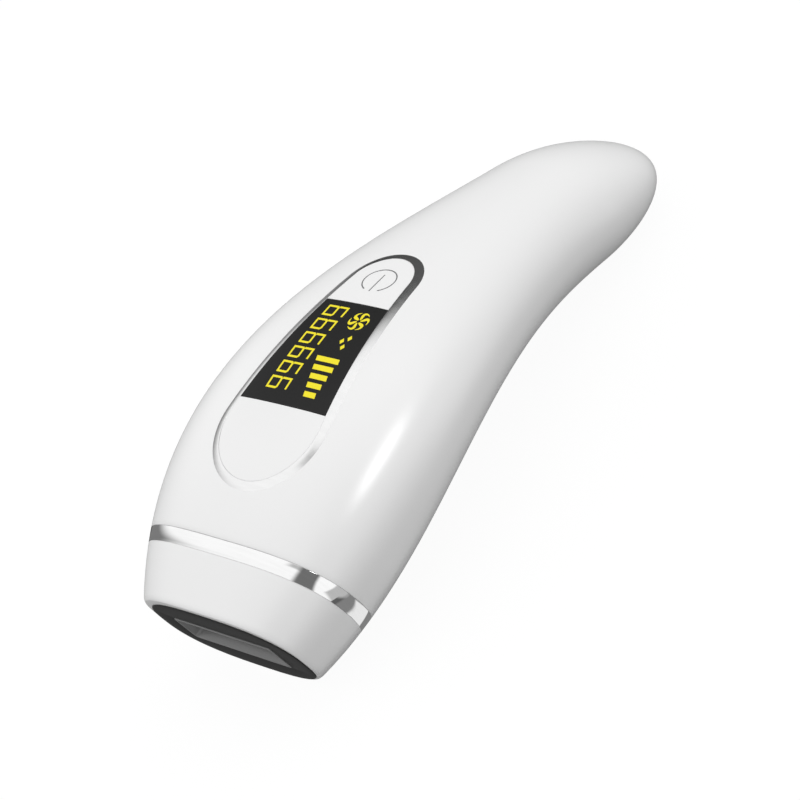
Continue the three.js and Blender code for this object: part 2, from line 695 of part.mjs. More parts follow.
// The part of the panel's outline from one y to another. An end left null is the round end itself.
function panelShape(grow, fromY, toY) {
  const shape = new THREE.Shape();
  const { headRadius, headY, tailRadius, tailY } = PANEL;
  if (fromY === null) {
    shape.absarc(0, headY, headRadius + grow, Math.PI - LEAN, 2 * Math.PI + LEAN, false);
  } else {
    shape.moveTo(-panelHalfWidth(fromY, grow), fromY);
    shape.lineTo(panelHalfWidth(fromY, grow), fromY);
  }
  if (toY === null) {
    shape.absarc(0, tailY, tailRadius + grow, LEAN, Math.PI - LEAN, false);
  } else {
    shape.lineTo(panelHalfWidth(toY, grow), toY);
    shape.lineTo(-panelHalfWidth(toY, grow), toY);
  }
  return shape;
}

function panelPiece(shape, low, high) {
  return common(alongZ(shape, 0, BEYOND, 10), slab(low, high));
}

// Points round the panel's outline: the centre and radius of the end circle that each one belongs to, and
// the direction from that centre. Along the straight sides the circles blend into each other.
function panelBand() {
  const steps = 18;
  const sideSteps = 10;
  const headEnd = { y: PANEL.headY, radius: PANEL.headRadius };
  const tailEnd = { y: PANEL.tailY, radius: PANEL.tailRadius };
  const band = [];
  const addEnd = (end, far, from, to) => {
    for (let i = 0; i <= steps; i += 1) {
      const angle = THREE.MathUtils.lerp(from, to, i / steps);
      band.push({ ...end, across: Math.cos(angle), along: Math.sin(angle) });
    }
    const { across, along } = band.at(-1);
    for (let i = 1; i < sideSteps; i += 1) {
      const y = THREE.MathUtils.lerp(end.y, far.y, i / sideSteps);
      const radius = THREE.MathUtils.lerp(end.radius, far.radius, i / sideSteps);
      band.push({ y, radius, across, along });
    }
  };
  addEnd(headEnd, tailEnd, Math.PI - LEAN, 2 * Math.PI + LEAN);
  addEnd(tailEnd, headEnd, LEAN, Math.PI - LEAN);
  return band;
}

// A band round the panel that slopes from the rim beside the keys down to the casing.
function panelBezel() {
  const { proud, rim, foot, footLift, depth } = BEZEL;
  const corners = [[GAP, -depth], [GAP, proud], [rim + GAP, proud], [foot, footLift], [foot, -depth]];
  const band = panelBand();
  const rings = corners.map(([grow, lift]) => band.map(({ y, radius, across, along }) => {
    const here = new THREE.Vector2(across * (radius + grow), y + along * (radius + grow));
    return new THREE.Vector3(here.x, here.y, surfaceHeight(panel, here.x, here.y) + lift);
  }));
  return loft(rings, { looped: true });
}

function buildPanel() {
  const { headY, tailY } = DISPLAY;
  part('panel_bezel', panelBezel(), silver, panel);
  const screen = panelShape(0, headY + GAP / 2, tailY - GAP / 2);
  part('display_window', panelPiece(screen, -WINDOW.depth, WINDOW.proud), displayGlass, panel);
  const flashKey = panelPiece(panelShape(0, null, headY - GAP / 2), -KEY.depth, KEY.proud);
  part('flash_button', flashKey, whitePlastic, panel);
  const powerKey = panelPiece(panelShape(0, tailY + GAP / 2, null), -KEY.depth, KEY.proud);
  part('power_button', powerKey, whitePlastic, panel);
  const block = (sizes, bottom, height) =>
    box([-sizes.halfWidth, sizes.headY, bottom], [sizes.halfWidth, sizes.tailY, height]);
  const { top, thickness } = DISPLAY_BOARD;
  part('display_board', block(DISPLAY_BOARD, top - thickness, top), circuitBoard, panel);
  part('display_module', block(MODULE, top + GAP, MODULE.top), darkPlastic, panel);
  const { halfSize, height, flashY, powerY } = TACT_SWITCH;
  for (const [name, y] of [['flash', flashY], ['power', powerY]]) {
    const body = box([-halfSize, -halfSize, top + GAP], [halfSize, halfSize, top + height]);
    part(name + '_switch', body, darkPlastic, panel, [0, y, 0]);
    const underside = surfaceHeight(panel, 0, y) - KEY.depth;
    const plunger = rodAt([0, 0], PLUNGER.radius, 14, top + height + PLUNGER.lift, underside - GAP * 2);
    part(name + '_switch_plunger', plunger, greyPlastic, panel, [0, y, 0]);
  }
}

// -- Fan --

function fanCorners() {
  return [[-FAN.hole, -FAN.hole], [FAN.hole, -FAN.hole], [FAN.hole, FAN.hole], [-FAN.hole, FAN.hole]];
}

function fanFrame() {
  const { half, corner, floor, height, bore } = FAN;
  const { radius, armHalfWidth, thickness } = FAN_MOUNT;
  const outline = shapeOf(rounded(half, half, corner), circle(bore, 28));
  const ring = alongZ(outline, floor, floor + height);
  const disc = rodAt([0, 0], radius, 16, floor, floor + thickness);
  const arms = [0, 1, 2].map((i) => {
    const arm = box([0, -armHalfWidth, floor], [bore + 0.6, armHalfWidth, floor + thickness]);
    return arm.rotateZ((i * 2 * Math.PI) / 3 + 0.3);
  });
  const holes = fanCorners().map((place) => rodAt(place, BOSS.bore, 10, floor - 1, 0));
  return cut(join(ring, disc, ...arms), ...holes);
}

function fanImpeller() {
  const { hub, wall, roof, height } = IMPELLER;
  const inside = [[0, height - roof], [hub - wall, height - roof], [hub - wall, 0]];
  const cup = turned([...inside, [hub, 0], [hub, height], [0, height]], 20).rotateX(Math.PI / 2);
  const fins = [];
  for (let i = 0; i < BLADES.count; i += 1) {
    const blade = new THREE.BoxGeometry(FAN.bore - hub - 0.2, BLADES.thickness, BLADES.height);
    blade.rotateX(BLADES.pitch).translate((FAN.bore + hub) / 2 - 0.4, 0, BLADES.height / 2);
    fins.push(blade.rotateZ((i * 2 * Math.PI) / BLADES.count));
  }
  return join(cup, ...fins);
}

function buildFan() {
  part('fan_frame', fanFrame(), darkPlastic, fan);
  const lift = (FAN.height - IMPELLER.height) / 2 + 0.5;
  part('fan_impeller', fanImpeller(), greyPlastic, fan, [0, 0, FAN.floor + lift]);
  const { radius, height } = MOTOR;
  const motor = turned([[0, 0], [radius, 0], [radius, height], [0, height]], 16).rotateX(Math.PI / 2);
  part('fan_motor', motor, copper, fan, [0, 0, FAN.floor + FAN_MOUNT.thickness + GAP]);
  [fanCorners()[0], fanCorners()[2]].forEach(([x, y], i) => {
    const reach = FAN.height + FAN_SCREW_REACH;
    const upright = screw(reach).rotateX(Math.PI / 2);
    part('fan_screw_' + (i + 1), upright, steel, fan, [x, y, FAN.floor + FAN.height + GAP - reach]);
  });
}

// -- Power electronics --

function transformerCore() {
  const { halfWidth, halfLength, height } = TRANSFORMER;
  const block = box([-halfWidth, -halfLength, 0], [halfWidth, halfLength, height]);
  const slots = [-CORE_SLOT.x, CORE_SLOT.x].map((x) => {
    const low = [x - CORE_SLOT.halfWidth, -halfLength - 1, CORE_SLOT.sheet];
    return box(low, [x + CORE_SLOT.halfWidth, halfLength + 1, height - CORE_SLOT.sheet]);
  });
  return cut(block, ...slots);
}

function transformerWinding() {
  const { halfWidth, halfLength, bottom, top } = WINDING;
  const hole = rounded(WINDING_HOLE.halfWidth, WINDING_HOLE.halfLength, 0.3);
  return alongZ(shapeOf(rounded(halfWidth, halfLength, 1), hole), bottom, top);
}

function heatSink() {
  const { width, base, depth, height } = HEAT_SINK;
  const fins = [];
  for (let i = 0; i < FINS.count; i += 1) {
    const x = i * FINS.pitch;
    fins.push(box([x, 0, 0], [x + FINS.thickness, depth, height]));
  }
  return join(box([0, 0, 0], [width, base, height]), ...fins);
}

function transistor() {
  const { width, depth, bottom, top, legPitch, legHalf } = TRANSISTOR;
  const legs = [-legPitch, 0, legPitch].map((place) => {
    const x = width / 2 + place;
    return box([x - legHalf, 1.6, 0], [x + legHalf, 2.2, bottom + 1]);
  });
  return join(box([0, 0, bottom], [width, depth, top]), ...legs);
}

// A cylindrical can with a rounded end and a crimped groove near the other end.
function capacitorCan() {
  const { radius, halfLength, groove } = CAPACITOR;
  const neck = radius - groove;
  const can = [
    [0, -halfLength], [neck, -halfLength], [radius, -halfLength + 0.8], [radius, halfLength - 3],
    [neck, halfLength - 2.3], [radius, halfLength - 1.6], [neck, halfLength], [0, halfLength],
  ];
  return turned(can, 24);
}

function buildElectronics() {
  part('storage_capacitor', capacitorCan(), sleeve, store, [0, 0, CAPACITOR.z]);

  const { halfWidth, halfLength, top, thickness } = BOARD;
  const blank = box([-halfWidth, -halfLength, top - thickness], [halfWidth, halfLength, top]);
  const holes = BOARD_POSTS.map((place) => rodAt(place, BOSS.bore, 12, top - 4, top + 4));
  part('main_board', cut(blank, ...holes), circuitBoard, grip);
  BOARD_POSTS.forEach(([x, y], i) => {
    const length = BOARD_POST.screwLength;
    const turnedOver = screw(length).rotateX(-Math.PI / 2).scale(0.8, 0.8, 1);
    part('board_screw_' + (i + 1), turnedOver, steel, grip, [x, y, top - thickness - GAP + length]);
  });

  const onBoard = (name, geometry, look, { x, y }) => part(name, geometry, look, grip, [x, y, top + GAP]);
  onBoard('transformer_core', transformerCore(), ferrite, TRANSFORMER);
  onBoard('transformer_winding', transformerWinding(), copper, TRANSFORMER);
  const { radius, bore, height } = COIL;
  const coil = turned([[bore, 0], [radius, 0], [radius, height], [bore, height], [bore, 0]], 16);
  onBoard('trigger_coil', coil.rotateX(Math.PI / 2), copper, COIL);
  onBoard('power_transistor', transistor(), darkPlastic, TRANSISTOR);
  onBoard('heat_sink', heatSink(), aluminium, HEAT_SINK);
  const { halfSize } = CHIP;
  onBoard('control_chip', box([-halfSize, -halfSize, 0], [halfSize, halfSize, CHIP.height]), ferrite, CHIP);
}

// -- Inlet and leads --

function inletBarrel() {
  const { radius, bore, front, rear, floor, pinRadius } = INLET;
  const body = alongY(shapeOf(circle(radius, 20)), front, rear);
  const mouth = alongY(shapeOf(circle(bore, 20)), front + floor, rear + 1);
  const pinHole = alongY(shapeOf(circle(pinRadius + GAP, 12)), front - 1, front + floor + 1);
  return cut(body, mouth, pinHole);
}

function buildInlet() {
  const { front, rear, pinRadius } = INLET;
  part('dc_inlet', inletBarrel(), darkPlastic, tail);
  const root = front + GAP;
  const pin = turned([[0, root], [pinRadius, root], [pinRadius, rear - 1], [0, rear - 0.4]], 12);
  part('dc_pin', pin, steel, tail);
}

buildCartridge();
buildCasing();
buildPanel();
buildFan();
buildElectronics();
buildInlet();

export default handset;
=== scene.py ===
import json
import math

import bmesh
import bpy
import numpy as np
from mathutils import Matrix, Vector


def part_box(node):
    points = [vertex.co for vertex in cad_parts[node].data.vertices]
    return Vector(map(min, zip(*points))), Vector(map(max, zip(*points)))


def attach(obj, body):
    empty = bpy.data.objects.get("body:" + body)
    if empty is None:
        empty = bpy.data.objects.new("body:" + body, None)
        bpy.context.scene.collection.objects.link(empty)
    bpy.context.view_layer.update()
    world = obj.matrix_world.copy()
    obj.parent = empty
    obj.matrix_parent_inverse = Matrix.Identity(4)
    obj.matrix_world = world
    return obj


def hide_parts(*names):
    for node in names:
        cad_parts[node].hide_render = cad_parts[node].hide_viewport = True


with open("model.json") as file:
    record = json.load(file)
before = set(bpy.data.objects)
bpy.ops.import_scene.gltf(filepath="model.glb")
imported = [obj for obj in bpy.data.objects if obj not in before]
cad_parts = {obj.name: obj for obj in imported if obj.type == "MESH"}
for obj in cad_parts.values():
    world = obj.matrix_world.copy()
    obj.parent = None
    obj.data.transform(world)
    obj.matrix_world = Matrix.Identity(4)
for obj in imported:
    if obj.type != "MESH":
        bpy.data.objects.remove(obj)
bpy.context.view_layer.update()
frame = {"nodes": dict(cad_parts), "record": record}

SHOWN = bpy.context.scene.collection

# ---- The casing's surface, in millimetres as in the CAD; solid() turns points into metres ----

MM = 0.001
CENTRE_LINE = [[-89.3, 15.2], [-56.9, 22.9], [-13.2, 58.8], [48.9, 13.3], [92.9, 8.7]]
HALF_WIDTH = [26.5, 45.6, 46.8, 24, 17, 28]
HALF_HEIGHT = [15.6, 22.9, 18.1, 13.2, 19.8, 12.1]
TOP_POWER = (3, 1.95)
BOTTOM_POWER = (2.35, 1.95)
TAIL_ROUNDING = 0.81
WALL = 2.2
GAP = 0.3
SEAM = 0.04            # what shows of a gap between two fixed pieces
AROUND = 256           # points round a cross-section
TILT_POWER = 0.75      # how the lean of a tilted ring grows with the sine of the angle round it
HALVINGS = 34          # steps of the search for a height

RING_FRONT = 0.075
RING_REAR = 0.096
FACE_TILT = 0.03
RING_TILT = 0.143
RING_DEPTH = 2.6
# On the treatment face, every width and height is half the real one.
FRAME = {"width": 25.2, "height": 13.4, "power": 2.7, "thickness": 2.6, "proud": 0.3,
         "hole_corner": 1.1}
LIP = {"width": 17.2, "height": 5.1, "rear_width": 15.4, "rear_height": 4.1, "depth": 3, "wall": 0.7,
       "proud": 0.2, "corner": 0.8}
GLASS = {"width": 16, "height": 4.8, "front": 3.4, "thickness": 1.4, "corner": 0.6}
MOUTH = {"width": 22.4, "height": 10.6, "depth": 4}

PANEL_STATION = 0.34
PANEL = {"head_radius": 15.4, "head_y": -17.4, "tail_radius": 9.4, "tail_y": 30.5}
RECESS_FLOOR = 4
DISPLAY = {"head_y": -11.9, "tail_y": 21.9}
BEZEL = {"foot": 2, "depth": 2.6}
KEY = {"proud": 0.5, "depth": 2, "gap": 0.06, "fillet": 0.08}
FLASH_CENTRE = (0, -20)
POWER_CENTRE = (0, 30)
WINDOW = {"proud": 0.5, "depth": 1.4, "gap": 0.05, "fillet": 0.05, "centre": (0, 4)}
BELLY = {"head_radius": 25, "head_y": -46, "tail_radius": 10, "tail_y": 50, "top": 24,
         "seam": 0.22}
FAN_STATION = 0.305
VENT = {"count": 6, "pitch": 4.4, "width": 1.8, "half_length": 9, "low": -30, "high": -10}
# Round each casing screw, with heights over the lowest point of its head.
SCREW_PAD = {"radius": 3.4, "low": 0.9, "high": 3.6}
SCREW_WELL = {"radius": 2.6, "low": -6, "high": 1.6}


def bernstein(values, t):
    """Point at t, from 0 to 1, of the Bezier curve with these control values."""
    values, t = np.asarray(values, float), np.asarray(t, float)
    degree = len(values) - 1
    terms = [np.multiply.outer(math.comb(degree, i) * t**i * (1 - t) ** (degree - i), values[i])
             for i in range(degree + 1)]
    return sum(terms)


CURVE_T = np.linspace(0, 1, 4001)
CURVE_STEPS = np.hypot(*np.diff(bernstein(CENTRE_LINE, CURVE_T), axis=0).T)
CURVE_LENGTH = np.concatenate([[0], np.cumsum(CURVE_STEPS)])
LENGTH = CURVE_LENGTH[-1]


def centre_at(station):
    """Point (y, z) and unit tangent of the centre line at a station from 0 to 1."""
    t = np.interp(np.clip(station, 0, 1) * LENGTH, CURVE_LENGTH, CURVE_T)
    slope = bernstein(np.diff(CENTRE_LINE, axis=0), t)
    return bernstein(CENTRE_LINE, t), slope / np.linalg.norm(slope, axis=-1, keepdims=True)


def signed_power(value, power):
    return np.sign(value) * np.abs(value) ** power


def section(station, inset=0):
    """Half-width, half-height and the two powers of the cross-section."""
    end = 1 - inset / LENGTH
    q = np.clip((station - TAIL_ROUNDING) / (end - TAIL_ROUNDING), 0, 1)
    factor = np.sqrt(1 - q * q)
    width = (bernstein(HALF_WIDTH, station) - inset) * factor
    height = (bernstein(HALF_HEIGHT, station) - inset) * factor
    return width, height, *(low + (high - low) * station for low, high in (TOP_POWER, BOTTOM_POWER))


def off_centre(station, across, up):
    point, tangent = centre_at(station)
    return np.stack([across, point[..., 0] - tangent[..., 1] * up, point[..., 1] + tangent[..., 0] * up], -1)


def body_ring(station, inset=0, tilt=0):
    """One cross-section of the casing, moved in by the inset, with its top leaning towards the tail."""
    angle = np.linspace(0, 2 * np.pi, AROUND, endpoint=False)
    sine = np.sin(angle)
    lift = bernstein(HALF_HEIGHT, station) * signed_power(sine, TILT_POWER)
    here = np.clip(station + tilt * lift / LENGTH, 0, 1)
    width, height, top, bottom = section(here, inset)
    power = 2 / np.where(sine >= 0, top, bottom)
    return off_centre(here, width * signed_power(np.cos(angle), power), height * signed_power(sine, power))


class Place:
    """A frame in the handset: x across, y along the centre line, z up out of the casing."""

    def __init__(self, station=None, tilt=0):
        self.origin, self.axes = np.zeros(3), np.eye(3)
        if station is not None:
            point, tangent = centre_at(station)
            angle = math.atan2(tangent[1], tangent[0]) - math.atan(tilt)
            cos, sin = math.cos(angle), math.sin(angle)
            self.origin = np.array([0, *point])
            self.axes = np.array([[1, 0, 0], [0, cos, sin], [0, -sin, cos]])

    def out(self, points):
        return self.origin + np.asarray(points, float) @ self.axes

    def within(self, points):
        return (np.asarray(points, float) - self.origin) @ self.axes.T

    def height(self, x, y):
        """Height of the casing's upper surface over points (x, y) of this frame's plane."""
        x, y = np.broadcast_arrays(np.asarray(x, float), np.asarray(y, float))
        near, far = np.zeros(x.shape), np.ones(x.shape)
        for _ in range(HALVINGS):
            station = (near + far) / 2
            width, height, top, _ = section(station)
            part = np.minimum(np.abs(x) / np.maximum(width, 0.001), 1)
            point = self.within(off_centre(station, x, height * (1 - part**top) ** (1 / top)))
            short = point[..., 1] < y
            near, far = np.where(short, station, near), np.where(short, far, station)
        return point[..., 2]


WORLD = Place()
HEAD = Place(0, FACE_TILT)
DECK = Place(PANEL_STATION)
FAN = Place(FAN_STATION)
TAIL = Place(1)

# ---- Meshes ----


def solid(name, points, faces):
    """A closed mesh object with its faces pointing out. Points are in millimetres."""
    mesh = bpy.data.meshes.new(name)
    mesh.from_pydata((np.asarray(points) * MM).tolist(), [], faces)
    shell = bmesh.new()
    shell.from_mesh(mesh)
    bmesh.ops.recalc_face_normals(shell, faces=shell.faces)
    shell.to_mesh(mesh)
    shell.free()
    made = bpy.data.objects.new(name, mesh)
    SHOWN.objects.link(made)
    return made


def grid_faces(rows, count, looped=False):
    faces = []
    for row in range(rows if looped else rows - 1):
        near, far = row * count, (row + 1) % rows * count
        faces += [(near + i, near + (i + 1) % count, far + (i + 1) % count, far + i) for i in range(count)]
    return faces


def loft(name, rings, looped=False):
    """Closed skin over rings of equally many points. An open row of rings is capped at both ends."""
    rings = np.asarray(rings)
    rows, count = rings.shape[:2]
    faces = grid_faces(rows, count, looped)
    if not looped:
        faces += [tuple(range(count)), tuple(range((rows - 1) * count, rows * count))]
    return solid(name, rings.reshape(-1, 3), faces)


def prism(name, outline, low, high, place=WORLD):
    outline = np.asarray(outline, float)
    return loft(name, [place.out(np.c_[outline, np.full(len(outline), z)]) for z in (low, high)])


def turned(name, profile, place, at=(0, 0, 0), axis="y", segments=64):
    """A turned piece. Its profile points (radius, distance along the axis) start and end near the axis."""
    angle = np.linspace(0, 2 * np.pi, segments, endpoint=False)
    rings = []
    for radius, along in profile:
        u, v = max(radius, 0.01) * np.cos(angle), max(radius, 0.01) * np.sin(angle)
        w = np.full(segments, float(along))
        rings.append(np.c_[{"x": (w, u, v), "y": (v, w, u), "z": (u, v, w)}[axis]])
    return loft(name, [place.out(ring + np.asarray(at)) for ring in rings])


def carve(target, how, *tools):
    """Joins the target with tools, cuts them out of it or keeps what they share. The tools are used up."""
    for tool in tools:
        step = target.modifiers.new(how, "BOOLEAN")
        step.operation = how
        step.solver = "EXACT"
        step.object = tool
    bpy.context.view_layer.update()
    shaped = target.evaluated_get(bpy.context.evaluated_depsgraph_get())
    mesh = bpy.data.meshes.new_from_object(shaped)
    target.modifiers.clear()
    target.data = mesh
    for tool in tools:
        bpy.data.objects.remove(tool)
    return target


def show(piece, body, look, slot, *nodes, sharp=35):
    """Shades the piece, rides it on its body, and hides the CAD nodes that it stands for."""
    piece.data.materials.clear()
    piece.data.materials.append(look)
    piece.data.polygons.foreach_set("use_smooth", [True] * len(piece.data.polygons))
    piece.data.set_sharp_from_angle(angle=math.radians(sharp))
    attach(piece, body)
    if nodes:
        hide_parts(*nodes)


# ---- Outlines ----


def arc(centre_x, centre_y, radius, start, end, count):
    angle = np.linspace(start, end, count)
    return np.c_[centre_x + radius * np.cos(angle), centre_y + radius * np.sin(angle)]


def circle(radius, count=64, at=(0, 0)):
    return arc(*at, radius, 0, 2 * np.pi * (1 - 1 / count), count)


def rounded(width, height, radius, corner=10, side=16):
    """Rectangle with round corners, with points along its sides too."""
    points = []
    for turn, (x, y) in enumerate([(1, 1), (-1, 1), (-1, -1), (1, -1)]):
        centre = x * (width - radius), y * (height - radius)
        points.append(arc(*centre, radius, turn * np.pi / 2, (turn + 1) * np.pi / 2, corner))
    filled = []
    for i, bend in enumerate(points):
        following = points[(i + 1) % 4][0]
        filled += [bend, np.linspace(bend[-1], following, side + 2)[1:-1]]
    return np.concatenate(filled)


def superellipse_at(angle, width, height, power):
    """Points of a superellipse at given polar angles."""
    cos, sin = np.cos(angle), np.sin(angle)
    radius = (np.abs(cos / width) ** power + np.abs(sin / height) ** power) ** (-1 / power)
    return np.c_[radius * cos, radius * sin]


def stadium(half_length, half_width, y):
    right = arc(half_length - half_width, y, half_width, -np.pi / 2, np.pi / 2, 12)
    left = arc(half_width - half_length, y, half_width, np.pi / 2, 3 * np.pi / 2, 12)
    return np.concatenate([right, left])


def lean_of(sizes):
    return math.asin((sizes["head_radius"] - sizes["tail_radius"]) / (sizes["tail_y"] - sizes["head_y"]))


def taper(sizes, grow=0, count=72):
    """Outline made of a circle at the head end, a circle at the tail end and their common tangents."""
    lean = lean_of(sizes)
    head = arc(0, sizes["head_y"], sizes["head_radius"] + grow, np.pi - lean, 2 * np.pi + lean, count)
    tail = arc(0, sizes["tail_y"], sizes["tail_radius"] + grow, lean, np.pi - lean, count)
    return np.concatenate([head, np.linspace(head[-1], tail[0], 40)[1:-1],
                           tail, np.linspace(tail[-1], head[0], 40)[1:-1]])


def panel_half_width(y):
    lean = lean_of(PANEL)
    return PANEL["head_radius"] / math.cos(lean) - (y - PANEL["head_y"]) * math.tan(lean)


def inward(outline, distance):
    """The outline moved in by a small distance."""
    ahead, behind = np.roll(outline, -1, 0) - outline, outline - np.roll(outline, 1, 0)
    normals = [np.c_[-d[:, 1], d[:, 0]] / np.linalg.norm(d, axis=1, keepdims=True) for d in (ahead, behind)]
    mean = normals[0] + normals[1]
    mean /= np.maximum((mean * normals[0]).sum(1, keepdims=True), 0.4)
    return outline + mean * distance


# ---- Materials ----


class Graph:
    """A node tree that is built up by short calls. An input goes by its name, with _ for a space, or by the
    letter i and its number."""

    def node(self, kind, **inputs):
        made = self.tree.nodes.new(kind)
        for socket, value in inputs.items():
            target = made.inputs[int(socket[1:]) if socket[0] == "i" and socket[1:].isdigit()
                                 else socket.replace("_", " ")]
            if isinstance(value, bpy.types.NodeSocket):
                self.tree.links.new(value, target)
            else:
                target.default_value = value
        return made

    def blend(self, share, first, second):
        return self.node("ShaderNodeMixShader", i0=share, i1=first, i2=second).outputs[0]


class Look(Graph):
    """A procedural material."""

    def __init__(self, name, **values):
        self.material = bpy.data.materials.new(name)
        self.material.use_nodes = True
        self.tree = self.material.node_tree
        self.shader = self.tree.nodes["Principled BSDF"]
        for socket, value in values.items():
            self.shader.inputs[socket.replace("_", " ")].default_value = value
        self.place = self.tree.nodes.new("ShaderNodeTexCoord").outputs["Object"]

    def stretched(self, x=1, y=1, z=1):
        return self.node("ShaderNodeMapping", Vector=self.place, Scale=(x, y, z)).outputs["Vector"]

    def noise(self, scale, detail=3, vector=None):
        vector = self.place if vector is None else vector
        made = self.node("ShaderNodeTexNoise", Vector=vector, Scale=scale, Detail=detail)
        return made.outputs["Fac"]

    def ramp(self, value, *stops):
        made = self.node("ShaderNodeValToRGB", Fac=value)
        elements = made.color_ramp.elements
        while len(elements) < len(stops):
            elements.new(0.5)
        for element, (at, color) in zip(elements, stops):
            element.position = at
            element.color = (*color, 1)
        return made.outputs["Color"]

    def between(self, value, low, high):
        made = self.node("ShaderNodeMapRange", Value=value)
        made.inputs["To Min"].default_value = low
        made.inputs["To Max"].default_value = high
        return made.outputs["Result"]

    def set(self, socket, output):
        self.tree.links.new(output, self.shader.inputs[socket])

    def bump(self, value, strength, distance=0.0001):
        made = self.node("ShaderNodeBump", Height=value, Strength=strength, Distance=distance)
        self.set("Normal", made.outputs["Normal"])


def shade(value, tint=(1, 1, 1)):
    return tuple(value * part for part in tint)


def moulded(name, value, roughness, grain=900, depth=0.15, tint=(1, 1, 1), **values):
    """Moulded plastic: an even colour with slow drift, a fine grain and a varied gloss."""
    look = Look(name, **values)
    slow = look.noise(18)
    look.set("Base Color", look.ramp(slow, (0.3, shade(value * 0.995, tint)), (0.7, shade(value, tint))))
    look.set("Roughness", look.between(look.noise(260), roughness * 0.985, roughness * 1.015))
    look.bump(look.noise(grain, 2), depth, 0.00002)
    return look.material


def plated(name, value, roughness):
    """Bright plating with faint polishing marks."""
    look = Look(name, Metallic=1)
    marks = look.noise(90, 4, look.stretched(1, 12, 1))
    look.set("Base Color", look.ramp(marks, (0.35, shade(value * 0.97)), (0.65, shade(value))))
    look.set("Roughness", look.between(marks, roughness * 0.8, roughness * 1.3))
    return look.material


def brushed(name, value, roughness, tint=(1, 1, 1), along=(400, 6, 400)):
    """Metal with a drawn grain."""
    look = Look(name, Metallic=1)
    grain = look.noise(2, 5, look.stretched(*along))
    look.set("Base Color", look.ramp(grain, (0.3, shade(value * 0.8, tint)), (0.7, shade(value, tint))))
    look.set("Roughness", look.between(grain, roughness * 0.75, roughness * 1.25))
    look.bump(grain, 0.2, 0.00003)
    return look.material


def display_glass():
    """Dark glass with a faint speckle."""
    look = Look("display_glass", Specular_IOR_Level=0.15)
    speckle = look.noise(5000, 1)
    look.set("Base Color", look.ramp(speckle, (0.35, shade(0.017)), (0.7, shade(0.021))))
    look.set("Roughness", look.between(look.noise(60), 0.3, 0.38))
    return look.material


def window_glass():
    """Frosted glass with fine lines along the window."""
    look = Look("window_glass", Coat_Weight=0.3, Coat_Roughness=0.12, IOR=1.5)
    lines = look.noise(3, 4, look.stretched(12, 500, 500))
    look.set("Base Color", look.ramp(lines, (0.3, shade(0.09)), (0.7, shade(0.13))))
    look.set("Roughness", look.between(lines, 0.25, 0.4))
    look.bump(lines, 0.15, 0.00004)
    return look.material


def clear_glass(name, tint):
    """Clear glass with a tint and faint streaks."""
    look = Look(name, IOR=1.46, Transmission_Weight=0.9)
    streaks = look.noise(70, 3)
    look.set("Base Color", look.ramp(streaks, (0.3, shade(0.9, tint)), (0.7, shade(1, tint))))
    look.set("Roughness", look.between(streaks, 0.03, 0.1))
    return look.material


def printed(name, color, glow=0.0):
    """Ink or a lit legend, with a fine dot texture."""
    look = Look(name, Emission_Strength=glow, Emission_Color=(*color, 1), Specular_IOR_Level=0.2)
    dots = look.noise(2500, 1)
    look.set("Base Color", look.ramp(dots, (0.3, shade(0.94, color)), (0.7, color)))
    look.set("Roughness", look.between(dots, 0.35, 0.5))
    return look.material


def board_look():
    """Circuit board: green mask with copper tracks showing through."""
    look = Look("circuit_board", Coat_Weight=0.3, Coat_Roughness=0.2)
    cells = look.node("ShaderNodeTexVoronoi", Vector=look.place, Scale=420.0)
    cells.feature = "DISTANCE_TO_EDGE"
    tracks = cells.outputs["Distance"]
    look.set("Base Color", look.ramp(tracks, (0.03, (0.02, 0.17, 0.06)), (0.09, (0.008, 0.075, 0.03))))
    look.set("Roughness", look.between(tracks, 0.3, 0.5))
    look.bump(tracks, 0.3, 0.00003)
    return look.material


def winding_look():
    """Enamelled copper wire laid in turns."""
    look = Look("copper", Metallic=1, Coat_Weight=0.5)
    turns = look.node("ShaderNodeTexWave", Vector=look.place, Scale=420.0, Distortion=0.4)
    turns.bands_direction = "Z"
    height = turns.outputs["Fac"]
    look.set("Base Color", look.ramp(height, (0.1, (0.22, 0.07, 0.03)), (0.8, (0.6, 0.24, 0.11))))
    look.set("Roughness", look.between(height, 0.5, 0.28))
    look.bump(height, 0.6, 0.0001)
    return look.material


LOOKS = {
    "white_plastic": moulded("white_plastic", 0.82, 0.27, Specular_IOR_Level=0.5),
    "dark_plastic": moulded("dark_plastic", 0.021, 0.45, grain=1600, depth=0.6, Specular_IOR_Level=0.22),
    "grey_plastic": moulded("grey_plastic", 0.3, 0.45, depth=0.4),
    "lip_grey": moulded("lip_grey", 0.2, 0.3, depth=0.2),
    "chrome_ring": plated("chrome_ring", 0.95, 0.05),
    "silver_bezel": plated("silver_bezel", 0.9, 0.16),
    "display_glass": display_glass(),
    "window_glass": window_glass(),
    "filter_glass": clear_glass("filter_glass", (1, 0.62, 0.4)),
    "lamp_glass": clear_glass("lamp_glass", (0.96, 0.98, 1)),
    "steel": brushed("steel", 0.5, 0.3),
    "aluminium": brushed("aluminium", 0.82, 0.25, along=(6, 400, 400)),
    "brass": brushed("brass", 0.75, 0.25, (1, 0.76, 0.38)),
    "copper": winding_look(),
    "circuit_board": board_look(),
    "ferrite": moulded("ferrite", 0.06, 0.6, grain=700, depth=0.8),
    "chip": moulded("chip", 0.03, 0.4, grain=1800, depth=0.5),
    "capacitor_sleeve": moulded("capacitor_sleeve", 0.022, 0.22, depth=0.1, tint=(0.9, 0.95, 1.2)),
    "red_wire": moulded("red_wire", 0.45, 0.4, tint=(1, 0.07, 0.05)),
    "black_wire": moulded("black_wire", 0.02, 0.4),
}
YELLOW = printed("legend_yellow", (0.84, 0.72, 0.018), glow=0.05)
GREY_INK = printed("legend_grey", (0.17, 0.17, 0.175))

# ---- Casing ----


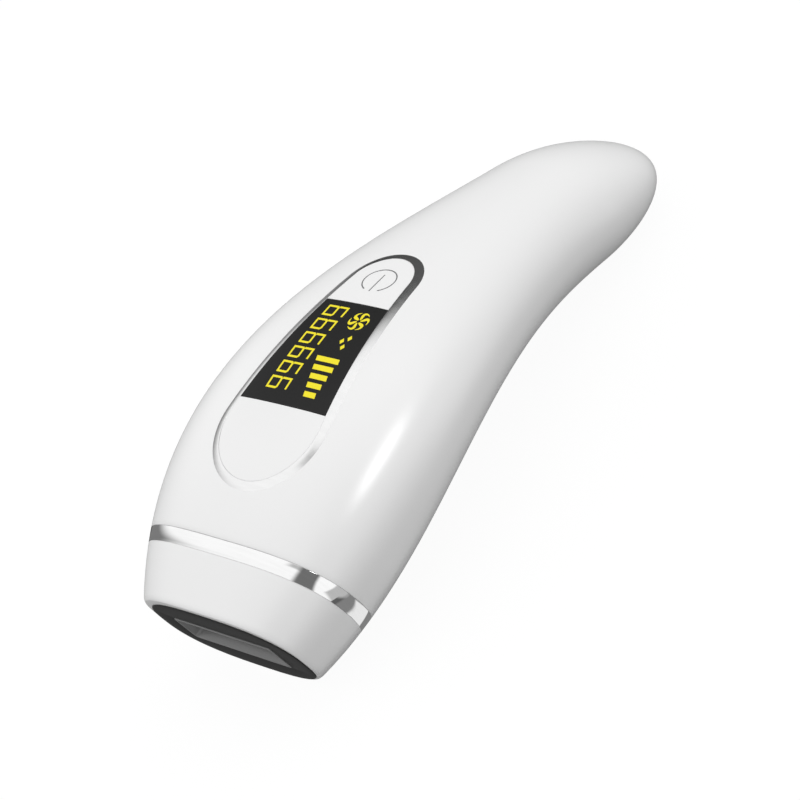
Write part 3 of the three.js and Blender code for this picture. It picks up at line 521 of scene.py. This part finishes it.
def head_tilt(station):
    return min(FACE_TILT + (RING_TILT - FACE_TILT) * station / RING_FRONT, RING_TILT)


def casing_skin(name):
    """The casing as one closed shell, with its wall, from behind the chrome ring to the tail."""
    front = RING_REAR + SEAM / LENGTH

    def rings(inset, start):
        end = 1 - inset / LENGTH
        along = np.linspace(start, TAIL_ROUNDING, 110, endpoint=False)
        made = [body_ring(s, inset, RING_TILT * (TAIL_ROUNDING - s) / (TAIL_ROUNDING - front)) for s in along]
        turn = np.sin(np.linspace(0, np.pi / 2, 40, endpoint=False))
        return made + [body_ring(TAIL_ROUNDING + (end - TAIL_ROUNDING) * q, inset) for q in turn]

    edge = [(0.0, 0.06), (0.03, 0.02)]
    rim = [body_ring(front + along / LENGTH, inset, RING_TILT) for along, inset in edge]
    inner = rings(WALL, front)
    return loft(name, inner[::-1] + rim + rings(0, front + 0.07 / LENGTH))


def belly_prism(grow):
    return prism("cutter", taper(BELLY, grow), -5, BELLY["top"])


def plug_hole():
    return turned("cutter", [(0, -9), (3.1, -9), (3.1, -0.75), (3.5, 0.2), (3.5, 5), (0, 5)], TAIL)


def make_casing():
    recess = prism("cutter", taper(PANEL, BEZEL["foot"] + GAP), RECESS_FLOOR, 30, DECK)
    casing = carve(casing_skin("casing"), "DIFFERENCE", recess, belly_prism(GAP), plug_hole())
    show(casing, "handset", LOOKS["white_plastic"], "white_plastic", "main_casing")


def screw_place(node):
    low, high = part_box(node)
    return np.array([(low.x + high.x) / 2, (low.y + high.y) / 2, low.z]) / MM


def round_screws(sizes):
    """A short cylinder round each casing screw."""
    made = []
    for i in range(1, 5):
        x, y, z = screw_place(f"casing_screw_{i}")
        outline = circle(sizes["radius"], 48, (x, y))
        made.append(prism("round_screw", outline, z + sizes["low"], z + sizes["high"]))
    return made


def make_belly():
    cover = carve(casing_skin("belly_panel"), "INTERSECT", belly_prism(GAP - BELLY["seam"]))
    cover = carve(cover, "UNION", *round_screws(SCREW_PAD))
    wells = round_screws(SCREW_WELL)
    first = -(VENT["count"] - 1) / 2 * VENT["pitch"]
    slots = []
    for i in range(VENT["count"]):
        slot = stadium(VENT["half_length"], VENT["width"] / 2, first + i * VENT["pitch"])
        slots.append(prism("cutter", slot, VENT["low"], VENT["high"], FAN))
    show(carve(cover, "DIFFERENCE", *wells, *slots), "handset", LOOKS["white_plastic"], "white_plastic",
         "belly_cover")


def cross_recess(x, y, low, high):
    """Cutter for a crosshead slot, narrower at its floor."""
    arms = []
    for turn in (0, 90):
        rings = []
        for z, half, wide in ((low, 1.25, 0.42), (high, 0.7, 0.22)):
            corners = np.array([(half, wide), (-half, wide), (-half, -wide), (half, -wide)])
            corners = corners[:, ::-1] * (1, -1) if turn else corners
            rings.append(np.c_[corners + (x, y), np.full(4, z)])
        arms.append(loft("cutter", rings))
    return arms


def make_casing_screws():
    for i in range(1, 5):
        x, y, z = screw_place(f"casing_screw_{i}")
        head = [(0, 0), (1.2, 0), (1.9, 0.18), (2.2, 0.5), (2.3, 0.9), (2.25, 1.35), (2.1, 1.4)]
        profile = head + [(1.2, 1.4), (1.2, 9.4), (0.7, 10.3), (0, 10.4)]
        screw = turned(f"screw_{i}", profile, WORLD, (x, y, z), "z")
        carve(screw, "DIFFERENCE", *cross_recess(x, y, z - 0.2, z + 0.9))
        show(screw, "handset", LOOKS["steel"], "steel", f"casing_screw_{i}")


def make_ring():
    front = RING_FRONT + SEAM / LENGTH
    rear = RING_REAR - SEAM / 2 / LENGTH
    step = 0.07 / LENGTH
    profile = [(front, 0.06), (front + step / 2, 0.015), (front + step, 0), ((front + rear) / 2, 0),
               (rear - step, 0), (rear - step / 2, 0.015), (rear, 0.06), (rear, RING_DEPTH),
               (front, RING_DEPTH)]
    ring = loft("chrome_ring", [body_ring(s, inset, RING_TILT) for s, inset in profile], looped=True)
    show(ring, "handset", LOOKS["chrome_ring"], "chrome_ring", "head_ring")


# ---- Lamp cartridge ----


def make_head_cover():
    depth, drop = 1.5, 0.62
    outer = []
    for part in np.linspace(1, depth / (RING_FRONT * LENGTH), 24):
        outer.append(body_ring(RING_FRONT * part, 0, head_tilt(RING_FRONT * part)))
    for turn in np.linspace(0, np.pi / 2, 9)[1:]:
        station = depth * (1 - math.sin(turn)) / LENGTH
        outer.append(body_ring(station, drop * (1 - math.cos(turn)), head_tilt(station)))
    angle = np.linspace(0, 2 * np.pi, AROUND, endpoint=False)

    def ellipse(width, height, y):
        x = width * signed_power(np.cos(angle), 2 / FRAME["power"])
        z = height * signed_power(np.sin(angle), 2 / FRAME["power"])
        return HEAD.out(np.c_[x, np.full(AROUND, y), z])

    seat = FRAME["width"] + SEAM, FRAME["height"] + SEAM
    floor = FRAME["thickness"] + SEAM
    mouth = MOUTH["width"], MOUTH["height"]
    inside = [ellipse(*seat, 0.02), ellipse(*seat, floor), ellipse(*mouth, floor),
              ellipse(*mouth, MOUTH["depth"])]
    lining = [body_ring(s, WALL, head_tilt(s)) for s in np.linspace(0.03, RING_FRONT, 6)]
    cover = loft("cartridge_cover", outer + inside + lining, looped=True)
    show(cover, "lamp_cartridge", LOOKS["white_plastic"], "white_plastic", "head_cover")


def make_contact_frame():
    hole = rounded(LIP["width"] + SEAM, LIP["height"] + SEAM, FRAME["hole_corner"])
    angle = np.arctan2(hole[:, 1], hole[:, 0])

    def outline(shrink):
        return superellipse_at(angle, FRAME["width"] - shrink, FRAME["height"] - shrink, FRAME["power"])

    front, rear, edge = -FRAME["proud"], FRAME["thickness"], 0.25
    rows = [(outline(0), rear), (outline(0), front + edge), (outline(edge * 0.3), front + edge * 0.3),
            (outline(edge), front), (outline(1.2), front), (hole * (1.01, 1.03), front), (hole, front + 0.1),
            (hole, rear)]
    rings = [HEAD.out(np.c_[points[:, 0], np.full(len(points), y), points[:, 1]]) for points, y in rows]
    show(loft("contact_face", rings, looped=True), "lamp_cartridge", LOOKS["dark_plastic"], "dark_plastic",
         "contact_frame")


def make_window():
    def rings(rows, corner):
        return [HEAD.out(np.insert(rounded(width, height, corner), 1, y, axis=1))
                for width, height, y in rows]

    w, h, rw, rh = LIP["width"], LIP["height"], LIP["rear_width"], LIP["rear_height"]
    wall, depth, edge, drop = LIP["wall"], LIP["depth"], 0.1, 0.12
    front = -FRAME["proud"] - LIP["proud"]
    rows = [(w, h, front + drop), (w - edge, h - edge, front), (w - wall + edge, h - wall + edge, front),
            (w - wall, h - wall, front + drop), (rw, rh, depth), (rw + wall, rh + wall, depth)]
    rim = loft("window_rim", rings(rows, LIP["corner"]), looped=True)
    show(rim, "lamp_cartridge", LOOKS["lip_grey"], "lip_grey", "window_lip")

    w, h, y, edge = GLASS["width"], GLASS["height"], GLASS["front"], 0.2
    rows = [(w - edge, h - edge, y), (w, h, y + edge), (w, h, y + GLASS["thickness"])]
    pane = loft("treatment_window", rings(rows, GLASS["corner"]))
    show(pane, "lamp_cartridge", LOOKS["window_glass"], "window_glass", "light_window")


# ---- Control panel ----


def over_deck(points, lift):
    """Points (x, y) of the panel's plane, set at a height over the casing's surface."""
    points = np.asarray(points, float)
    return DECK.out(np.c_[points, DECK.height(points[:, 0], points[:, 1]) + lift])


def make_bezel():
    """A band that rises from the casing, less and less steeply, to an edge beside the keys."""
    key_side, foot, proud = SEAM, BEZEL["foot"] + GAP + 0.1, KEY["proud"]
    profile = [(key_side, -BEZEL["depth"]), (key_side, proud - 0.04), (key_side + 0.03, proud)]
    for part in 1 - (1 - np.linspace(0.06, 1, 18)) ** 1.4:
        reach = key_side + (foot - key_side) * part
        profile.append((reach, proud - (proud + 0.03) * part**1.35))
    profile += [(foot, -0.4), (foot - 0.5, -BEZEL["depth"])]
    rings = [over_deck(taper(PANEL, grow), lift) for grow, lift in profile]
    trim = loft("panel_trim", rings, looped=True)
    show(trim, "handset", LOOKS["silver_bezel"], "silver_bezel", "panel_bezel")


def end_outline(end, edge_y):
    """Outline of a key: one round end of the panel, closed by a straight edge across it."""
    lean = lean_of(PANEL)
    half = panel_half_width(edge_y)
    if end == "head":
        bend = arc(0, PANEL["head_y"], PANEL["head_radius"], np.pi - lean, 2 * np.pi + lean, 150)
    else:
        bend = arc(0, PANEL["tail_y"], PANEL["tail_radius"], lean, np.pi - lean, 120)
    side = 1 if end == "head" else -1
    first, last = np.array([side * half, edge_y]), np.array([-side * half, edge_y])
    return np.concatenate([bend, np.linspace(bend[-1], first, 10)[1:], np.linspace(first, last, 60)[1:],
                           np.linspace(last, bend[0], 10)[1:-1]])


def pad(name, outline, centre, proud, depth, fillet):
    """A slab that follows the casing's surface, with a rounded upper edge."""
    centre = np.asarray(centre, float)
    rows = []
    for part in np.linspace(0.02, 1, 14):
        rows.append(over_deck(centre + (outline - centre) * part, -depth))
    rows.append(over_deck(outline, proud - fillet))
    for turn in np.linspace(0, np.pi / 2, 6)[1:]:
        drop = fillet * (1 - math.sin(turn))
        rows.append(over_deck(inward(outline, fillet * (1 - math.cos(turn))), proud - drop))
    rim = inward(outline, fillet)
    for part in np.linspace(0.98, 0.015, 26):
        rows.append(over_deck(centre + (rim - centre) * part, proud))
    return loft(name, rows)


def make_keys():
    sizes = KEY["proud"], KEY["depth"], KEY["fillet"]
    outline = end_outline("head", DISPLAY["head_y"] - KEY["gap"])
    flash = pad("flash_key_cap", outline, FLASH_CENTRE, *sizes)
    show(flash, "flash_key", LOOKS["white_plastic"], "white_plastic", "flash_button")
    outline = end_outline("tail", DISPLAY["tail_y"] + KEY["gap"])
    power = pad("power_key_cap", outline, POWER_CENTRE, *sizes)
    show(power, "power_key", LOOKS["white_plastic"], "white_plastic", "power_button")


def make_display():
    low, high = DISPLAY["head_y"] + WINDOW["gap"], DISPLAY["tail_y"] - WINDOW["gap"]
    corners = [(-panel_half_width(low), low), (panel_half_width(low), low),
               (panel_half_width(high), high), (-panel_half_width(high), high)]
    sides = [np.linspace(a, b, 61)[:-1] for a, b in zip(corners, corners[1:] + corners[:1])]
    window = pad("display_glass", np.concatenate(sides), WINDOW["centre"], WINDOW["proud"], WINDOW["depth"],
                 WINDOW["fillet"])
    show(window, "handset", LOOKS["display_glass"], "display_glass", "display_window")


# ---- Legends, in the panel's plane: x across, y towards the tail. The display's have their tops to -X. ----

MARK = {"lift": 0.02, "thickness": 0.08}
DIGITS = {"count": 6, "first": (-0.95, 16.55), "step": (-0.14, -4.85), "height": 6.5, "width": 3.1,
          "line": 0.6}
FAN_SYMBOL = {"centre": (5.25, 16.3), "radius": 3.3, "blades": 6}
DIAMONDS = {"centres": [(5.1, 9.3), (6.8, 10.6), (6.55, 7.6)], "half_width": 0.68}
LEVELS = {"count": 5, "top": 1.05, "top_step": 0.88, "foot": 8.6, "foot_step": -0.05, "side": 2.25,
          "width": 1.55, "pitch": 2.66, "slant": 0.45}
POWER_SYMBOL = {"centre": (0.1, 31.0), "radii": (4.9, 4.15), "from": -62, "to": 245, "half_line": 0.17,
                "stem": [(0.1, 26.7), (0.15, 33.2)]}


def stroke(points, width, closed=False):
    """A line through points with mitred corners, as its two long edges."""
    points = np.array(points, float)
    along = np.roll(points, -1, axis=0) - points
    along /= np.linalg.norm(along, axis=1, keepdims=True)
    after = np.c_[-along[:, 1], along[:, 0]]
    before = np.roll(after, 1, axis=0)
    if not closed:
        before[0], after[-1] = after[0], before[-1]
    across = (before + after) * width / ((before + after) ** 2).sum(axis=1, keepdims=True)
    edges = []
    for corners in (points + across, points - across):
        corners = np.concatenate([corners, corners[:1]]) if closed else corners
        steps = [np.linspace(a, b, 7)[:-1] for a, b in zip(corners, corners[1:])]
        edges.append(np.concatenate(steps + [corners[-1:]]))
    return edges


def strips(name, edges, lift, body, look, slot):
    """Thin raised marks that follow the casing's surface."""
    points, faces = [], []
    under = lift - MARK["thickness"]
    for left, right in edges:
        start, count = len(points), len(left)
        for side, height in ((left, lift), (right, lift), (right, under), (left, under)):
            points.extend(over_deck(side, height))
        ring = [start + side * count for side in range(4)]
        for i in range(count - 1):
            for a, b in zip(ring, ring[1:] + ring[:1]):
                faces.append((a + i, a + i + 1, b + i + 1, b + i))
        faces.append(tuple(ring))
        faces.append(tuple(corner + count - 1 for corner in reversed(ring)))
    show(solid(name, points, faces), body, look, slot)


def seven_segment_nine(x, y, height, width, line):
    """The figure 9 with its top towards -X, from its lower left corner (x, y)."""
    top, middle, right, cut = x - height, x - height * 0.49, y + width, line * 0.6
    loop = [(top, y), (top, right), (middle - cut, right), (middle, right - cut), (middle, y + cut),
            (middle - cut, y)]
    hook = [(middle + 0.4 * line, right), (x, right), (x, y)]
    return [stroke(loop, line, closed=True), stroke(hook, line)]


def swirl(centre, radius, blades):
    """Fan symbol: curved blades round a small open hub, widest at their middle and pointed at their tip."""
    made = []
    along = np.linspace(0, 1, 20)
    for i in range(blades):
        turn = 2 * np.pi * (i + 0.3) / blades + 0.3 * np.sin(np.pi * along) - 0.55 * along**2.5
        reach = radius * (0.16 + 0.72 * np.sin(np.minimum(along * 1.1, 1) * np.pi / 2))
        middle = np.c_[reach * np.cos(turn), reach * np.sin(turn)]
        course = np.gradient(middle, axis=0)
        course /= np.linalg.norm(course, axis=1, keepdims=True)
        half = radius * (0.05 + 0.085 * np.sin(np.pi * along**0.8)) * np.sqrt(1 - 0.95 * along**4)
        across = np.c_[-course[:, 1], course[:, 0]] * half[:, None]
        made.append((centre + middle + across, centre + middle - across))
    return made


def level_bar(i):
    """A bar of the level gauge, with slanted ends. The bars get shorter with i."""
    top, foot = LEVELS["top"] + LEVELS["top_step"] * i, LEVELS["foot"] + LEVELS["foot_step"] * i
    near = LEVELS["side"] - LEVELS["pitch"] * i
    far = near + LEVELS["width"]
    slant = LEVELS["slant"]
    return np.linspace((top, far), (foot, far), 9), np.linspace((top + slant, near), (foot + slant, near), 9)


def diamond(x, y):
    half = DIAMONDS["half_width"]
    return (np.array([(x - half, y), (x, y + half * 1.4), (x + half, y)], float),
            np.array([(x - half, y), (x, y - half * 1.4), (x + half, y)], float))


def make_legends():
    digits = []
    for i in range(DIGITS["count"]):
        x, y = (first + step * i for first, step in zip(DIGITS["first"], DIGITS["step"]))
        digits += seven_segment_nine(x, y, DIGITS["height"], DIGITS["width"], DIGITS["line"])
    legends = {
        "legend_digits": digits,
        "legend_fan": swirl(FAN_SYMBOL["centre"], FAN_SYMBOL["radius"], FAN_SYMBOL["blades"]),
        "legend_diamonds": [diamond(*centre) for centre in DIAMONDS["centres"]],
        "legend_levels": [level_bar(i) for i in range(LEVELS["count"])],
    }
    for name, marks in legends.items():
        strips(name, marks, WINDOW["proud"] + MARK["lift"], "handset", YELLOW, "display_glass")


def make_power_symbol():
    """An open ring with a stem that comes in through its gap."""
    angle = np.radians(np.linspace(POWER_SYMBOL["from"], POWER_SYMBOL["to"], 90))
    directions = np.c_[np.cos(angle), np.sin(angle)]
    middle, radii = np.array(POWER_SYMBOL["centre"]), np.array(POWER_SYMBOL["radii"])
    half_line = POWER_SYMBOL["half_line"]
    ring = (middle + directions * (radii + half_line), middle + directions * (radii - half_line))
    stem = stroke(POWER_SYMBOL["stem"], half_line * 2)
    strips("power_symbol", [ring, stem], KEY["proud"] + MARK["lift"], "power_key", GREY_INK, "white_plastic")


# ---- Inlet ----


def make_inlet():
    barrel = [(0, -15), (3.9, -15), (3.9, -5.5), (3.8, -5.4), (2.95, -5.4), (2.8, -5.6), (2.8, -13), (0, -13)]
    show(turned("power_inlet", barrel, TAIL), "handset", LOOKS["dark_plastic"], "dark_plastic", "dc_inlet")
    pin = [(0, -13.0), (1, -13.0), (1, -6.6), (0.8, -6.0), (0.4, -5.8), (0, -5.75)]
    show(turned("inlet_pin", pin, TAIL), "handset", LOOKS["steel"], "steel", "dc_pin")


def dress_the_rest():
    """The CAD nodes that stay get the looks of their material slots."""
    for row in frame["record"]["subparts"]:
        node = frame["nodes"][row["node"]]
        if not node.hide_render:
            node.data.materials.clear()
            node.data.materials.append(LOOKS[row["material_slot"]])


# ---- Stage, light and camera ----

FLOOR = {"height": -0.0001, "albedo": 0.3, "glow": 0.8, "white": 1.18}
# After the room's even glow come soft boxes, which add their strength, and flags, with a strength below 0,
# which take that share off what the rows above them add up to. Each gives its two ends as headings, its
# half-width, the softness of its edge and its strength.
FILL = {
    "room": 0.79,
    "key": ((-80, 45), (-20, 62), 0.3, 0.2, 0.28),
    "left": ((-120, 5), (-60, 5), 0.5, 0.8, 0.63),
    "front": ((-20, 12), (20, 12), 0.4, 0.8, 0.42),
    "right": ((60, 0), (120, 0), 0.3, 0.8, 0.34),
    "back": ((150, 30), (210, 30), 0.5, 0.8, 1.25),
}
SHINE = {
    "room": 1.0,
    "left_flag": ((-119, -16), (-62, 4), 0.35, 0.45, -0.8),
    "front_flag": ((1, 57), (45, 40), 0.62, 0.26, -0.84),
    "top_flag": ((-50, 77), (25, 77), 0.1, 0.6, -0.5),
    "right_flag": ((50, -9), (115, -9), 0.33, 0.16, -0.5),
    "back_flag": ((140, 5), (241, 5), 0.7, 0.13, -0.93),
    "ground_flag": ((0, -22), (180, -22), 0.88, 0.05, -0.78),
    "ground_card": ((82, -52), (140, -78), 0.3, 0.12, 0.62),
}
STRIP = {"heading": (98, 68), "distance": 1.5, "length": 0.62, "width": 0.3, "power": 9}
CAMERA = {"heading": (57.704, 37.915), "roll": -31.565, "aim": (9.34, -17.72, 28.12), "distance": 650,
          "lens": 117}


def make_stage():
    """A wide white sheet. Seen from above it glows almost white, so it shows only a trace of shadow, but
    its light on the object is a plain grey's. Glossy surfaces see the studio in its place. From below it is
    clear, so that the underside can be looked at."""
    side = 3
    mesh = bpy.data.meshes.new("floor")
    corners = [(-side, -side), (side, -side), (side, side), (-side, side)]
    mesh.from_pydata([(x, y, FLOOR["height"]) for x, y in corners], [], [(0, 1, 2, 3)])
    floor = bpy.data.objects.new("floor", mesh)
    SHOWN.objects.link(floor)
    look = Look("floor_paper", Roughness=0.8, Specular_IOR_Level=0.0)
    albedo = FLOOR["albedo"]
    look.set("Base Color", look.ramp(look.noise(4), (0.3, shade(albedo * 0.98)), (0.7, shade(albedo))))
    path = look.node("ShaderNodeLightPath").outputs
    glow = look.node("ShaderNodeEmission", Strength=FLOOR["white"]).outputs[0]
    clear = look.node("ShaderNodeBsdfTransparent").outputs[0]
    unseen = look.blend(path["Is Glossy Ray"], look.shader.outputs[0], clear)
    above = look.blend(look.between(path["Is Camera Ray"], 0, FLOOR["glow"]), unseen, glow)
    behind = look.node("ShaderNodeNewGeometry").outputs["Backfacing"]
    output = look.tree.nodes["Material Output"]
    look.tree.links.new(look.blend(behind, above, clear), output.inputs["Surface"])
    floor.data.materials.append(look.material)


def heading(azimuth, elevation):
    """Direction at degrees from the front (-Y) towards the right (+X), and degrees up."""
    azimuth, elevation = math.radians(azimuth), math.radians(elevation)
    return Vector((math.sin(azimuth) * math.cos(elevation), -math.cos(azimuth) * math.cos(elevation),
                   math.sin(elevation)))


class Sky(Graph):
    """The studio round the object: one glow that fills, another that shines in glossy surfaces, and plain
    white where the camera sees it."""

    def __init__(self):
        world = bpy.data.worlds.new("studio")
        world.use_nodes = True
        bpy.context.scene.world = world
        self.tree = world.node_tree
        self.direction = self.node("ShaderNodeTexCoord").outputs["Generated"]
        path = self.node("ShaderNodeLightPath").outputs
        kinds = self.blend(path["Is Glossy Ray"], self.glow(FILL), self.glow(SHINE))
        white = self.node("ShaderNodeBackground", Color=(1, 1, 1, 1)).outputs[0]
        seen = self.blend(path["Is Camera Ray"], kinds, white)
        self.tree.links.new(seen, self.tree.nodes["World Output"].inputs["Surface"])

    def glow(self, boxes):
        total, *lights = boxes.values()
        for *place, strength in lights:
            light = self.box(*place, strength)
            if strength > 0:
                total = self.math("ADD", total, light)
            else:
                total = self.math("MULTIPLY", total, self.math("ADD", light, 1.0))
        return self.node("ShaderNodeBackground", Color=total).outputs[0]

    def math(self, kind, first, second):
        made = self.node("ShaderNodeMath", i0=first, i1=second)
        made.operation = kind
        return made.outputs[0]

    def vector(self, kind, output, **inputs):
        made = self.node("ShaderNodeVectorMath", **inputs)
        made.operation = kind
        return made.outputs[output]

    def box(self, start, end, half_width, soft, strength):
        """A soft box between two headings, as long as they are apart and as wide as given (both as sines)."""
        start, end = heading(*start), heading(*end)
        centre = (start + end).normalized()
        along = (end - start).normalized()
        turned_to = Matrix((along, centre.cross(along), centre)).transposed()
        inside = self.node("ShaderNodeMapping", Vector=self.direction, Rotation=turned_to.to_euler(),
                           Scale=((end - start).length / 2, half_width, 1))
        inside.vector_type = "TEXTURE"
        off_middle = self.vector("ABSOLUTE", "Vector", i0=inside.outputs[0])
        sides = self.node("ShaderNodeSeparateXYZ", Vector=off_middle)
        reach = self.math("MAXIMUM", sides.outputs["X"], sides.outputs["Y"])
        edge = self.node("ShaderNodeMapRange", Value=reach)
        edge.interpolation_type = "SMOOTHSTEP"
        limits = {"From Min": 1 - soft, "From Max": 1 + soft, "To Min": strength, "To Max": 0}
        for socket, value in limits.items():
            edge.inputs[socket].default_value = value
        ahead = self.vector("DOT_PRODUCT", "Value", i0=self.direction, i1=centre)
        # The mapping shows a twin of the box on the far side of the sky, which is cut off.
        near_side = self.math("GREATER_THAN", ahead, 0.3)
        return self.math("MULTIPLY", edge.outputs[0], near_side)


def make_strip():
    """A strip light along the handset that shows only as a highlight on its right shoulder."""
    data = bpy.data.lights.new("strip", "AREA")
    data.shape, data.size, data.size_y = "RECTANGLE", STRIP["width"], STRIP["length"]
    data.energy = STRIP["power"]
    lamp = bpy.data.objects.new("strip", data)
    towards = heading(*STRIP["heading"])
    across = Vector((0, 1, 0)).cross(towards).normalized()
    lamp.matrix_world = Matrix((across, towards.cross(across), towards)).transposed().to_4x4()
    lamp.location = towards * STRIP["distance"]
    lamp.visible_diffuse = False
    lamp.visible_camera = False
    SHOWN.objects.link(lamp)


def make_light():
    Sky()
    make_strip()
    bpy.context.scene.view_settings.view_transform = "Standard"


def make_camera():
    """Looks at a point of the handset from a heading, and is rolled about that line of sight."""
    data = bpy.data.cameras.new("camera")
    data.sensor_width = 36
    data.lens = CAMERA["lens"]
    data.clip_start = 0.05
    camera = bpy.data.objects.new("camera", data)
    back = heading(*CAMERA["heading"])
    level = Vector((0, 0, 1)).cross(back).normalized()
    roll = math.radians(CAMERA["roll"])
    right = level * math.cos(roll) + back.cross(level) * math.sin(roll)
    camera.matrix_world = Matrix((right, back.cross(right), back)).transposed().to_4x4()
    camera.location = (Vector(CAMERA["aim"]) + back * CAMERA["distance"]) * MM
    SHOWN.objects.link(camera)
    bpy.context.scene.camera = camera


make_casing()
make_belly()
make_casing_screws()
make_ring()
make_head_cover()
make_contact_frame()
make_window()
make_bezel()
make_keys()
make_display()
make_legends()
make_power_symbol()
make_inlet()
dress_the_rest()
make_stage()
make_light()
make_camera()
